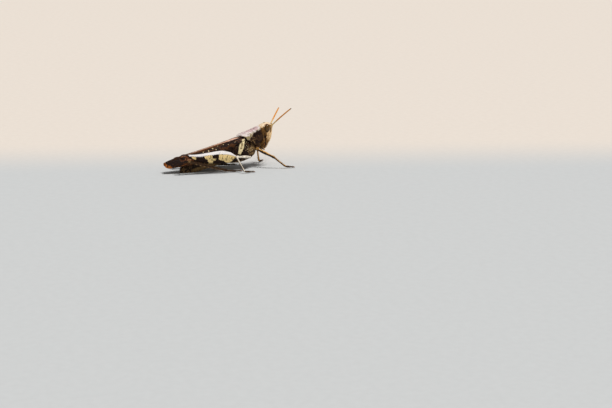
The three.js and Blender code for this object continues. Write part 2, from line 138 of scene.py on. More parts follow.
# Where the face's tan begins on the side of the head, as [up, back].
FACE_BORDER = [
    [-2.2, 0], [-1.5, -0.4], [-1, -0.65], [-0.5, -0.72], [-0.1, -0.8], [0.3, -0.95], [1.05, -1],
    [1.4, -1.7],
]
# Rows of [share of the length, half width, top, bottom] of one folded wing.
WING = [
    [0, 1.56, 1.8, 1.3], [0.08, 1.85, 1.95, 1.1], [0.2, 1.94, 2, 0.45], [0.32, 1.92, 2.02, 0.05],
    [0.55, 1.75, 2.1, -0.28], [0.8, 1.38, 2.26, 0.26], [0.92, 1.06, 2.2, 0.58],
    [1, 0.84, 2.0, 0.85],
]
# Rows of [share of the wing's length, share of the way from the top edge to the lower edge]
# that each long vein runs through.
VEINS = [
    [[0, 0.1], [0.5, 0.09], [0.8, 0.02]],
    [[0, 0.2], [0.5, 0.18], [0.92, 0.07]],
    [[0, 0.36], [0.3, 0.37], [0.7, 0.35], [1, 0.27]],
    [[0, 0.48], [0.2, 0.52], [0.6, 0.49], [1, 0.4]],
    [[0.34, 0.53], [0.5, 0.56], [0.8, 0.53], [1, 0.48]],
    [[0, 0.56], [0.2, 0.6], [0.6, 0.61], [1, 0.55]],
    [[0.52, 0.62], [0.7, 0.655], [1, 0.61]],
    [[0, 0.62], [0.2, 0.69], [0.6, 0.7], [0.85, 0.72], [1, 0.7]],
    [[0.62, 0.71], [0.8, 0.78], [0.97, 0.83]],
    [[0, 0.74], [0.2, 0.82], [0.6, 0.83], [0.85, 0.95], [0.9, 1]],
    [[0, 0.86], [0.12, 0.92], [0.3, 0.97], [0.4, 1]],
]
# Rows of [share of the length, half thickness, above the axis, below the axis] of the limbs.
HIND_THIGH = [
    [0, 0.24, 0.3, 0.3], [0.02, 0.36, 0.46, 0.48], [0.05, 0.46, 0.66, 0.7], [0.12, 0.6, 1.12, 1.12],
    [0.28, 0.66, 1.5, 1.34], [0.5, 0.56, 1.2, 1.12], [0.68, 0.46, 0.86, 0.8],
    [0.84, 0.38, 0.74, 0.58], [0.92, 0.4, 0.86, 0.6], [0.98, 0.46, 0.94, 0.78],
    [1.03, 0.44, 0.82, 0.8], [1.055, 0.3, 0.54, 0.6], [1.065, 0.12, 0.24, 0.28],
]
THIGH = [
    [0, 0.16, 0.18, 0.18], [0.03, 0.25, 0.28, 0.26], [0.07, 0.2, 0.22, 0.22],
    [0.12, 0.22, 0.26, 0.26], [0.35, 0.28, 0.35, 0.32], [0.8, 0.22, 0.25, 0.25],
    [0.93, 0.26, 0.3, 0.3], [0.99, 0.24, 0.29, 0.28], [1.02, 0.12, 0.14, 0.14],
]
SHIN = [
    [-0.03, 0.07, 0.08, 0.08], [0.0, 0.17, 0.2, 0.2], [0.05, 0.2, 0.23, 0.23],
    [0.12, 0.15, 0.17, 0.17], [0.5, 0.14, 0.15, 0.15], [0.9, 0.16, 0.17, 0.17],
    [0.98, 0.18, 0.19, 0.19], [1.01, 0.08, 0.09, 0.09],
]
HIND_SHIN = [
    [-0.02, 0.1, 0.1, 0.1], [0, 0.24, 0.28, 0.24], [0.03, 0.31, 0.37, 0.33],
    [0.06, 0.28, 0.34, 0.3], [0.1, 0.23, 0.26, 0.26], [0.4, 0.21, 0.24, 0.24],
    [0.85, 0.21, 0.23, 0.23], [0.95, 0.28, 0.28, 0.28], [0.99, 0.27, 0.26, 0.26],
    [1.01, 0.1, 0.1, 0.1],
]
# Rows of [start, end, half width, above, below] of the three joints of a foot.
FOOT_JOINTS = [
    [0.0, 0.45, 0.19, 0.17, 0.2], [0.43, 0.6, 0.17, 0.15, 0.18], [0.57, 0.95, 0.14, 0.14, 0.13],
]
FOOT_JOINT_SHAPE = [  # the shape of each joint, as shares of its length and of its sizes
    [0, 0.45, 0.5, 0.5], [0.06, 0.8, 0.85, 0.8], [0.35, 0.95, 0.95, 1], [0.8, 1, 1, 1],
    [0.95, 0.8, 0.85, 0.8], [1, 0.35, 0.4, 0.4],
]
CLAW_PAD = [
    [0.9, 0.03, 0.03, 0.03], [0.94, 0.1, 0.06, 0.08], [1.0, 0.13, 0.06, 0.09],
    [1.05, 0.08, 0.04, 0.06], [1.07, 0.02, 0.02, 0.02],
]
HIP = [
    [0, 0.4, 0.45, 0.45], [0.4, 0.52, 0.58, 0.58], [0.7, 0.46, 0.5, 0.5], [0.84, 0.38, 0.42, 0.42],
    [0.9, 0.26, 0.28, 0.28], [0.97, 0.3, 0.32, 0.32], [1.05, 0.14, 0.15, 0.15],
]
SPUR = [
    [0, 0.42, 0.36, 0.36], [0.4, 0.3, 0.27, 0.27], [0.85, 0.22, 0.2, 0.2], [0.96, 0.15, 0.14, 0.14],
    [1, 0.04, 0.04, 0.04],
]
END_PLATE = [
    [0, 0.5, 0.08, 0.06], [0.5, 0.42, 0.1, 0.06], [0.85, 0.2, 0.08, 0.05], [1, 0.03, 0.02, 0.02],
]
END_SQUARE = 2.4
CERCUS = [  # the short feeler beside the end plate
    [0, 0.15, 0.15, 0.15], [0.3, 0.14, 0.14, 0.14], [0.8, 0.07, 0.07, 0.07],
    [1, 0.015, 0.015, 0.015],
]
LABRUM = [
    [0, 0.48, 0.1, 0.1], [0.08, 0.56, 0.16, 0.12], [0.3, 0.68, 0.22, 0.14],
    [0.75, 0.62, 0.22, 0.14], [0.94, 0.44, 0.14, 0.1], [1, 0.3, 0.04, 0.04],
]
# The bodies that the short hairs stand on, where no other table gives them.
HAIRY_CHEST = [[0, 1.5, 1.5, 1.75], [0.5, 1.86, 2.2, 2.35], [1, 1.5, 1.5, 1.85]]
HAIRY_BELLY = [
    [0, 1.3, 1.5, 1.75], [0.5, 1.15, 1.35, 1.4], [0.85, 0.9, 1, 0.95], [1, 0.55, 0.5, 0.45],
]
HAIRY_LABRUM = [[0, 0.5, 0.12, 0.1], [0.3, 0.68, 0.2, 0.14], [1, 0.34, 0.1, 0.1]]
HAIRY_PALP = [[0, 0.14, 0.14, 0.14], [1, 0.14, 0.14, 0.14]]
HAIRY_FOOT = [[0, 0.19, 0.17, 0.2], [0.6, 0.17, 0.15, 0.18], [0.95, 0.1, 0.1, 0.1]]
# Rows of [share of the length, share of the usual thickness].
FEELER_THICKNESS = [
    [0, 1.15], [0.05, 1.5], [0.09, 1.15], [0.14, 0.95], [0.4, 1.0], [0.8, 0.92], [0.96, 0.78],
    [1, 0.3],
]
PALP_THICKNESS = [[0, 0.8], [0.5, 0.95], [0.9, 1.05], [1, 0.6]]
# The mouth feelers of the left side: root and tip, the shares where joints meet, and half width.
PALPS = {
    "maxillary": ([0.98, 0.62, -1.6], [0.88, 0.45, -2.6], (0, 0.15, 0.3, 0.62, 1), 0.16),
    "labial": ([0.42, 0.86, -2.0], [0.42, 0.95, -2.76], (0, 0.22, 0.55, 1), 0.15),
}

# The legs' pose: a hip is in the body's frame; a knee, an ankle and a toe are [ahead of the
# pronotum's front, out from the middle, up from the floor].
HIPS = {"fore": (1.2, 1.95, -1.85), "mid": (1.6, 4.1, -2.85), "hind": (2.55, 7.3, -1.55)}
LEGS = {
    "fore_right": ((2.1, 2.6, 2.6), (4.6, 2.9, 0.5), (6.6, 3, 0.24)),
    "fore_left": ((0.2, 4.3, 3.05), (0.5, 4.3, 0.5), (1.9, 5.9, 0.24)),
    "mid_right": ((-6.9, 3.9, 3.6), (-5.5, 5.1, 0.5), (-3.1, 4.7, 0.24)),
    "mid_left": ((-7.2, 3.9, 3.5), (-6.3, 5.1, 0.5), (-3.9, 5.5, 0.24)),
    "hind_right": ((-18.9, 3.4, 3.96), (-8.85, 3.2, 0.5), (-5.5, 3, 0.24)),
    "hind_left": ((-18.9, 3.3, 1.95), (-8.55, 3.5, 0.5), (-5.15, 3.4, 0.24)),
}
FEELERS = {"left": (3.6, 4.9, 3), "right": (3.7, 3.5, 4.5)}
SIDES = {"left": 1, "right": -1}

# The camera's aim: how far ahead of the wing tips, and how far up.
AIM_AHEAD, AIM_UP = 15.07, 6.67
# Where that point lies in the frame: right of and above its middle, as shares of its width.
FRAME_RIGHT, FRAME_UP = -0.1242, 0.1046
SENSOR = 36.0
SIGHT_RANGE = (0.01, 20)  # the nearest and furthest things seen, in metres
FLOOR_REACH = 4.0  # from the middle to each side, in metres
SKY_COLOUR = (1.0, 0.985, 0.965, 1)
SUN_COLOUR = (1.0, 0.98, 0.95)
SUN_SPREAD = math.radians(20)
SUN_LEAN = 0.42  # how far the sun leans to the camera's side
SUN_PLACE = Vector((0, -0.3, 1.0))

# The cream band on the flank, between two points of the body's side [back, up].
BAND = np.array([[4.3, 1.8], [6.4, -1.3]])
BAND_HALF = 0.47
# Seams of the flank as [behind the band, depth], and the plates between them that swell out.
FLANK_SEAMS = ((-0.52, 0.09), (0.5, 0.09), (-1.75, 0.08), (1.5, 0.07))
SWOLLEN_PLATES = ((-1.75, 1.23, 0.09), (0.5, 1.0, 0.06))  # start, breadth, swelling
BELLY_SEAMS = (3.6, 5.75, 7.5)
# Cream flecks of a fore wing: share along, share across, half their height as a share across.
WING_FLECKS = [
    [0.262, 0.36, 0.08], [0.33, 0.3, 0.04], [0.4, 0.38, 0.08], [0.456, 0.41, 0.1],
    [0.52, 0.38, 0.05], [0.37, 0.54, 0.03], [0.21, 0.57, 0.035], [0.125, 0.68, 0.03],
    [0.61, 0.5, 0.03],
]
STRONG_VEINS = (2, 5, 7)
# How far down the pinkish top edge of a fore wing reaches, as shares along and across; the pink is
# partly its own tan and partly a painted highlight.
WING_TOP = [[0, 0.28], [0.1, 0.28], [0.19, 0.22], [0.27, 0.12], [0.38, 0.075], [0.56, 0.06], [0.7, 0]]
# A hind thigh's markings, by shares along it and down its face: the lower edges of the white,
# which is partly a painted highlight, and of the first khaki patch, and the hipward and kneeward
# edges of the second.
WHITE_BORDER = [[0.58, 0.22], [0.63, 0.27], [0.76, 0.27], [0.8, 0.2]]
FIRST_PATCH = [
    [0, 0.5], [0.05, 0.6], [0.1, 0.85], [0.13, 1.05], [0.2, 0.87], [0.25, 0.76], [0.3, 0.66],
    [0.35, 0.58],
]
HIPWARD_EDGE = [[0.5, 0.475], [0.53, 0.4], [0.7, 0.405], [0.73, 0.455]]
KNEEWARD_EDGE = [[0.2, 0.63], [0.3, 0.62], [0.5, 0.602], [0.6, 0.59], [0.66, 0.555], [1, 0.53]]


# ---------------------------------------------------------------- colours and settings
def tone(red, green, blue):
    """A colour given as 0 to 255 screen values, as the linear values that nodes take."""
    def linear(value):
        share = value / 255
        return share / 12.92 if share <= 0.04045 else ((share + 0.055) / 1.055) ** 2.4
    return linear(red), linear(green), linear(blue)


def colour_setting(name, description, *values):
    """A colour as a setting, from 0 to 255 screen values."""
    return FloatVectorProperty(
        name=name, description=description, subtype="COLOR", min=0, max=1, default=tone(*values)
    )


def length_setting(name, description, default, least, most):
    """A length in millimetres, as a setting in metres."""
    return FloatProperty(
        name=name, description=description, unit="LENGTH", precision=6,
        default=default * MM, min=least * MM, max=most * MM,
    )


def count_setting(name, description, default, least, most):
    return IntProperty(name=name, description=description, default=default, min=least, max=most)


class LocustColours(bpy.types.PropertyGroup):
    """The colours of the locust's shell."""
    # Back: the pronotum's paler top, whitened past its own tan by a painted highlight of the top
    # light.
    back: colour_setting("Back", "Pinkish white of the pronotum's shoulders", 224, 212, 208)
    mauve: colour_setting("Mauve", "Mauve pink along the pronotum's middle", 204, 176, 176)
    side: colour_setting("Side", "Dark brown of the pronotum's lobes and the flanks", 64, 41, 23)
    olive: colour_setting("Shoulder", "Grey tan between the back and the sides", 154, 138, 101)
    face: colour_setting("Cheek", "Brown of the cheeks", 122, 86, 44)
    # Tan: the face's pale front, lightened past its own colour by a painted highlight of the light
    # from the front.
    tan: colour_setting("Tan", "Pale tan of the face's front", 236, 198, 146)
    crown: colour_setting("Crown", "Whitish cream of the head's top", 238, 216, 186)
    cream: colour_setting("Cream", "Cream of the flank's band", 230, 212, 166)
    khaki: colour_setting("Khaki", "Yellowish tan of the thigh's patches", 236, 208, 148)
    # White: the thigh's pale upper half, brightened past its own colour by a painted highlight of the
    # top light.
    white: colour_setting("White", "White of the thigh's upper half", 228, 223, 222)
    dark: colour_setting("Dark", "Blackish brown of the patches", 32, 15, 8)
    wing: colour_setting("Wing", "Brown of the fore wings", 80, 46, 18)
    # Wing ridge: pinkish tan, partly the top's own colour and partly a painted highlight of the top
    # light.
    ridge: colour_setting("Wing ridge", "Pinkish tan of the fore wings' top edges", 216, 174, 152)
    # Amber: orange brown; along the fore wings' lower tip it also stands for a painted glow of light
    # shining through.
    amber: colour_setting("Amber", "Orange brown of the wing tips", 168, 96, 36)
    feeler: colour_setting("Feeler", "Orange of the feelers", 230, 148, 36)
    hind_wing: colour_setting("Hind wing", "Smoky straw of the hind wings", 196, 182, 150)
    leg: colour_setting("Leg", "Brown of the fore and middle legs", 62, 38, 17)
    pale_leg: colour_setting("Pale leg", "Ivory of the legs' upper sides", 240, 230, 212)
    # Hind shin: the shins' own dark brown, deepened further as painted shade from the thigh and body
    # above.
    shin: colour_setting("Hind shin", "Dark brown of the hind shins and feet", 42, 25, 14)
    knee: colour_setting("Knee", "Brown of the hind knees", 96, 56, 32)
    blush: colour_setting("Blush", "Pinkish tan of the knees' lower lobes", 172, 120, 84)
    # Shank: golden brown, lightened as painted light so the far fore leg's inner side looks lit.
    shank: colour_setting("Shank", "Golden brown of the fore shins' inner sides", 218, 164, 84)
    belly: colour_setting("Belly", "Brown of the abdomen's rings", 68, 45, 24)
    sole: colour_setting("Underside", "Yellowish brown of the underside", 132, 104, 66)
    eye: colour_setting("Eye", "Dark brown of the eyes", 58, 38, 14)
    eye_band: colour_setting("Eye band", "Lighter bands of the eyes", 132, 96, 48)
    # Spines: straw brown, darkened from ivory as painted shade so they sink into the shade under the
    # thighs.
    spine_and_shade: colour_setting("Spines", "Straw brown of the shins' spines", 138, 104, 66)
    hair: colour_setting("Hairs", "Straw brown of the fine hairs", 128, 98, 62)


class LocustDetail(bpy.types.PropertyGroup):
    """Thicknesses and counts of the locust's fine detail."""
    wing_skin: length_setting("Wing thickness", "Thickness of a fore wing", 0.14, 0.05, 0.5)
    vein: length_setting("Vein height", "How far long veins stand up from a fore wing", 0.05, 0, 0.2)
    feeler: length_setting("Feeler thickness", "Diameter of a feeler near its base", 0.3, 0.1, 0.5)
    feeler_joints: count_setting("Feeler joints", "Number of short joints in a feeler", 23, 10, 40)
    spines: count_setting("Spines", "Spines in each row of a hind shin", 8, 4, 14)
    chevrons: count_setting("Chevrons", "Slanted ridges on a hind thigh's face", 26, 6, 40)
    hairs: count_setting("Hairs", "Fine hairs on each piece of a leg", 170, 0, 600)


class LocustStudio(bpy.types.PropertyGroup):
    """The floor, the light and the camera."""
    floor: colour_setting("Floor", "Pale grey of the floor", 205, 208, 210)
    beyond: colour_setting("Beyond", "Warm white of the floor far off", 232, 223, 214)
    haze: colour_setting("Haze", "Warm white of the sky behind the floor", 236, 226, 215)
    sky: FloatProperty(
        name="Sky light", description="Strength of the soft light from all round",
        default=0.2, min=0, max=2,
    )
    sun: FloatProperty(
        name="Sun light", description="Strength of the soft light from above",
        default=2.9, min=0, max=5,
    )
    azimuth: FloatProperty(
        name="Camera azimuth", description="Where the camera stands round the locust",
        default=math.radians(255), subtype="ANGLE",
    )
    elevation: FloatProperty(
        name="Camera elevation", description="How far above the floor's level the camera stands",
        default=math.radians(12), subtype="ANGLE",
    )
    distance: FloatProperty(
        name="Camera distance", description="From the camera to the locust's middle",
        default=377.8 * MM, unit="LENGTH",
    )
    lens: FloatProperty(
        name="Lens", description="Focal length of the camera", default=100, subtype="NONE"
    )


# The finishes of the shell: its base colour, the colours that its marks lay over the base, and
# tip, which spikes and hairs end in; then how they look, with grain as pits to a metre and depth
# as that of the relief in millimetres.
FINISHES = {
    "Pronotum Horn": dict(base="side", warm="back", pale="olive", edge="sole", blush="mauve",
                          flecks=0.1, roughness=0.5, grain=5200.0, depth=0.03, soft=0.34),
    "Head Horn": dict(base="face", warm="crown", pale="tan", edge="amber", flecks=0.08, soft=0.34),
    "Flank Horn": dict(base="side", warm="sole", pale="cream", edge="sole", mottle=0.34,
                       flecks=0.2, roughness=0.5, grain=5600.0, depth=0.03, soft=0.34),
    "Belly Horn": dict(base="belly", warm="cream", pale="sole", mottle=0.36, flecks=0.1, soft=0.34),
    "Wing Leather": dict(base="wing", warm="ridge", pale="cream", edge="amber", roughness=0.5,
                         grain=9000.0, depth=0.012),
    "Hind Wing Film": dict(base="hind_wing", warm="amber", pale="cream", dark="wing",
                           mottle=0.12, roughness=0.3, grain=9000.0, depth=0.008),
    "Thigh Horn": dict(base="dark", warm="white", pale="khaki", edge="knee", blush="blush",
                       mottle=0.14, flecks=0.04, roughness=0.42, depth=0.015, soft=0.26),
    "Leg Horn": dict(base="leg", warm="spine_and_shade", pale="pale_leg", edge="shank", mottle=0.25,
                     flecks=0.08, roughness=0.42),
    "Shin Horn": dict(base="shin", warm="belly", pale="sole", flecks=0.06, roughness=0.42, soft=0.3),
    "Feeler Horn": dict(base="feeler", warm="leg", pale="khaki", mottle=0.18, soft=0.4),
    "Spine Ivory": dict(base="spine_and_shade", warm="amber", pale="cream", mottle=0.08, roughness=0.3,
                        tip="dark"),
    "Claw Horn": dict(base="amber", warm="leg", pale="cream", mottle=0.1, roughness=0.3,
                      tip="dark"),
    "Fine Hair": dict(base="hair", warm="amber", pale="cream", mottle=0.15, roughness=0.5,
                      tip="sole"),
}


# ---------------------------------------------------------------- curves and noise
def through(rows):
    """A table's rows as smooth functions of the station in their first column."""
    table = np.array(rows, dtype=float)
    at, values = table[:, 0], table[:, 1:]
    last = len(at) - 1
    order = np.arange(last + 1)
    before, after = np.maximum(order - 1, 0), np.minimum(order + 1, last)
    slope = (values[after] - values[before]) / (at[after] - at[before])[:, None]

    def read(place):
        place = np.asarray(place, dtype=float)
        start = np.clip(np.searchsorted(at, place, side="right") - 1, 0, last - 1)
        step = at[start + 1] - at[start]
        t = np.clip((place - at[start]) / step, 0, 1)[..., None]
        t2, t3 = t**2, t**3
        ends = values[start] * (2 * t3 - 3 * t2 + 1) + values[start + 1] * (3 * t2 - 2 * t3)
        bend = slope[start] * (t3 - 2 * t2 + t) + slope[start + 1] * (t3 - t2)
        return np.moveaxis(ends + bend * step[..., None], -1, 0)

    return read


def squared(angle, squareness):
    """The cosine and sine of an angle, pushed out from a circle towards a square."""
    def bend(value):
        return np.sign(value) * np.abs(value) ** (2 / squareness)
    return bend(np.cos(angle)), bend(np.sin(angle))


def even_angles(squareness, sides, low=0.0, high=2 * math.pi, close=False):
    """Angles whose points on a squared circle stand evenly spaced."""
    fine = np.linspace(low, high, 6001)
    c, s = squared(fine, squareness)
    along = np.concatenate([[0], np.cumsum(np.hypot(np.diff(c), np.diff(s)))])
    return np.interp(np.linspace(0, along[-1], sides + (not close)), along, fine)[:sides]


def ramp(value, low, high):
    """Rises smoothly from 0 at low to 1 at high."""
    t = np.clip((np.asarray(value, dtype=float) - low) / (high - low), 0, 1)
    return t * t * (3 - 2 * t)


def fall(value, low, high):
    """Falls smoothly from 1 at low to 0 at high."""
    return 1 - ramp(value, low, high)


def within(value, low, high, soft):
    """1 between low and high, fading to 0 over soft on both sides."""
    return ramp(value, low - soft, low + soft) * fall(value, high - soft, high + soft)


def ridge(distance, width):
    """1 along a line, falling away like a bell on both sides of it."""
    return np.exp(-((distance / width) ** 2))


def dot(a, b, centre, reach):
    """1 at a point of a plane, falling away like a bell all round it."""
    return np.exp(-((a - centre[0]) / reach[0]) ** 2 - ((b - centre[1]) / reach[1]) ** 2)


def line_at(place, line):
    """A bent line's height at places along it; the line is rows of [place, height]."""
    return np.interp(place, *zip(*line))


def arch(share):
    """Rises from 0 to 1 and back to 0 as a share runs from 0 to 1."""
    return np.sin(np.clip(share, 0, 1) * math.pi)


def grid(first, second):
    """Every pair of two lists' values, as two arrays of rows and columns."""
    return np.meshgrid(first, second, indexing="ij")


def scatter(i, j, seed):
    """A repeatable number from 0 to 1 for each whole-numbered cell."""
    mixed = (i.astype(np.int64) * 73856093) ^ (j.astype(np.int64) * 19349663) ^ (seed * 83492791)
    mixed = (mixed ^ (mixed >> 13)) * 1274126177
    return ((mixed ^ (mixed >> 16)) & 0xFFFF) / 0xFFFF


def cells(u, v, seed, jitter=0.85):
    """For a jittered grid of points: the distance to the nearest, how much further the next one
    is, and a number from 0 to 1 that belongs to the nearest."""
    near, second, value = np.full(u.shape, 9.0), np.full(u.shape, 9.0), np.zeros(u.shape)
    for di in (-1, 0, 1):
        for dj in (-1, 0, 1):
            i, j = np.floor(u) + di, np.floor(v) + dj
            away_u = u - i - 0.5 - jitter * (scatter(i, j, seed) - 0.5)
            away_v = v - j - 0.5 - jitter * (scatter(i, j, seed + 7) - 0.5)
            away = np.hypot(away_u, away_v)
            closer = away < near
            second = np.where(closer, near, np.minimum(second, away))
            value = np.where(closer, scatter(i, j, seed + 13), value)
            near = np.where(closer, away, near)
    return near, second - near, value


def lumps(u, v, seed):
    """Smooth hills and hollows between 0 and 1, about one unit across, with finer ones on them."""
    total = 0
    for turn, scale, share in ((0.6, 1.0, 0.85), (2.0, 2.1, 0.45)):
        c, s = scale * math.cos(turn), scale * math.sin(turn)
        a, b = u * c + v * s, v * c - u * s
        i, j = np.floor(a), np.floor(b)
        a, b = ramp(a - i, 0, 1), ramp(b - j, 0, 1)
        low = scatter(i, j, seed) * (1 - a) + scatter(i + 1, j, seed) * a
        high = scatter(i, j + 1, seed) * (1 - a) + scatter(i + 1, j + 1, seed) * a
        total += share * (low * (1 - b) + high * b - 0.5)
    return np.clip(total + 0.5, 0, 1)


def rough(u, v, seed):
    """The same hills and hollows, between -0.5 and 0.5."""
    return lumps(u, v, seed) - 0.5


def pits(u, v, seed, left_out):
    """Small round pits, one to a cell, with a share of the cells left out."""
    near, _, pick = cells(u, v, seed)
    return ridge(near, PIT_WIDTH) * (pick > left_out)


def to_segment(a, b, start, end):
    """Distances in a plane from points to the line between two others."""
    (a0, b0), (a1, b1) = start, end
    span = (a1 - a0) ** 2 + (b1 - b0) ** 2
    t = np.clip(((a - a0) * (a1 - a0) + (b - b0) * (b1 - b0)) / span, 0, 1)
    return np.hypot(a - a0 - t * (a1 - a0), b - b0 - t * (b1 - b0))


# ---------------------------------------------------------------- places
def middle_of(node):
    """The middle of a CAD node's box."""
    low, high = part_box(node)
    return np.array((low + high) / 2) / MM


PITCH_COS, PITCH_SIN = math.cos(BODY_PITCH), math.sin(BODY_PITCH)
EYES_MIDDLE = (middle_of("eye_left") + middle_of("eye_right")) / 2
BODY_X = EYES_MIDDLE[0]
BODY_Y = EYES_MIDDLE[1] - EYE_CENTRE[1] * PITCH_COS - EYE_CENTRE[2] * PITCH_SIN


def placed(points):
    """Points of the body's frame, in the row's frame."""
    x, back, up = np.moveaxis(np.asarray(points, dtype=float), -1, 0)
    return np.stack([
        x + BODY_X,
        back * PITCH_COS + up * PITCH_SIN + BODY_Y,
        up * PITCH_COS - back * PITCH_SIN + AXIS_HEIGHT,
    ], -1)


def leg_place(point, side):
    """A point given as [ahead, out, up] for one side, in the row's frame."""
    ahead, out, up = point
    return np.array([side * out + BODY_X, BODY_Y - ahead, up])


def mirrored(points, side):
    """Points of the left side, or their mirrored places on the right one."""
    return np.array(points) * [side, 1, 1]


def unit(vectors):
    """Vectors drawn out or in to a length of 1."""
    vectors = np.asarray(vectors, dtype=float)
    return vectors / np.maximum(np.linalg.norm(vectors, axis=-1, keepdims=True), 1e-12)


class Limb:
    """A straight length between two points: y runs along it and z leans to up."""

    def __init__(self, start, end, up=(0, 0, 1), side=1):
        self.start, self.end = np.asarray(start, dtype=float), np.asarray(end, dtype=float)
        self.length = float(np.linalg.norm(self.end - self.start))
        self.y = unit(self.end - self.start)
        self.x = unit(np.cross(self.y, up))
        self.z = np.cross(self.x, self.y)
        self.outward = 1 if self.x[0] * side > 0 else -1

    def turn(self, directions):
        return np.asarray(directions, dtype=float) @ np.stack([self.x, self.y, self.z])

    def place(self, points):
        return self.start + self.turn(points)


def ring_points(angle, half, top, waist, bottom, squareness, station):
    """Points of rings: out along x by half at most, and up or down from the waist."""
    c, s = squared(angle, squareness)
    up = waist + s * np.where(s > 0, top - waist, waist - bottom)
    return np.stack(np.broadcast_arrays(half * c, station, up), -1)


def trunk_rings(rows, squareness, stations, sides):
    """A grid of points round one of the trunk's tables, with their stations and angles."""
    station, angle = grid(np.linspace(rows[0][0], rows[-1][0], stations),
                          even_angles(squareness, sides))
    return ring_points(angle, *through(rows)(station), squareness, station), station, angle


def facings(points, wrap=True):
    """The outward direction at each point of a grid of rings."""
    along = np.gradient(points, axis=0)
    if wrap:
        across = np.roll(points, -1, axis=1) - np.roll(points, 1, axis=1)
    else:
        across = np.gradient(points, axis=1)
    out = unit(np.cross(along, across))
    from_middle = points - points.mean(axis=1, keepdims=True)
    return out * (1 if (out * from_middle).sum() > 0 else -1)


def lifted(points, height, wrap=True):
    """A grid of points moved outward by a height at each."""
    return points + facings(points, wrap) * np.asarray(height)[..., None]


# ---------------------------------------------------------------- meshes
def volume(points, faces):
    """Six times the volume inside a set of faces, below 0 where they face inward."""
    total = 0.0
    for face_set in faces:
        for k in range(1, face_set.shape[1] - 1):
            a, b, c = (points[face_set[:, n]] for n in (0, k, k + 1))
            total += float(np.einsum("ij,ij->", a, np.cross(b, c)))
    return total


def tube_faces(rows, sides):
    """Quads round a tube of rings, and the fans that close its ends at two more points."""
    index = np.arange(rows * sides).reshape(rows, sides)
    beside = np.roll(index, -1, axis=1)
    quads = np.stack([index[:-1], beside[:-1], beside[1:], index[1:]], -1).reshape(-1, 4)
    first = np.stack([np.full(sides, rows * sides), beside[0], index[0]], -1)
    last = np.stack([np.full(sides, rows * sides + 1), index[-1], beside[-1]], -1)
    return quads, np.vstack([first, last])


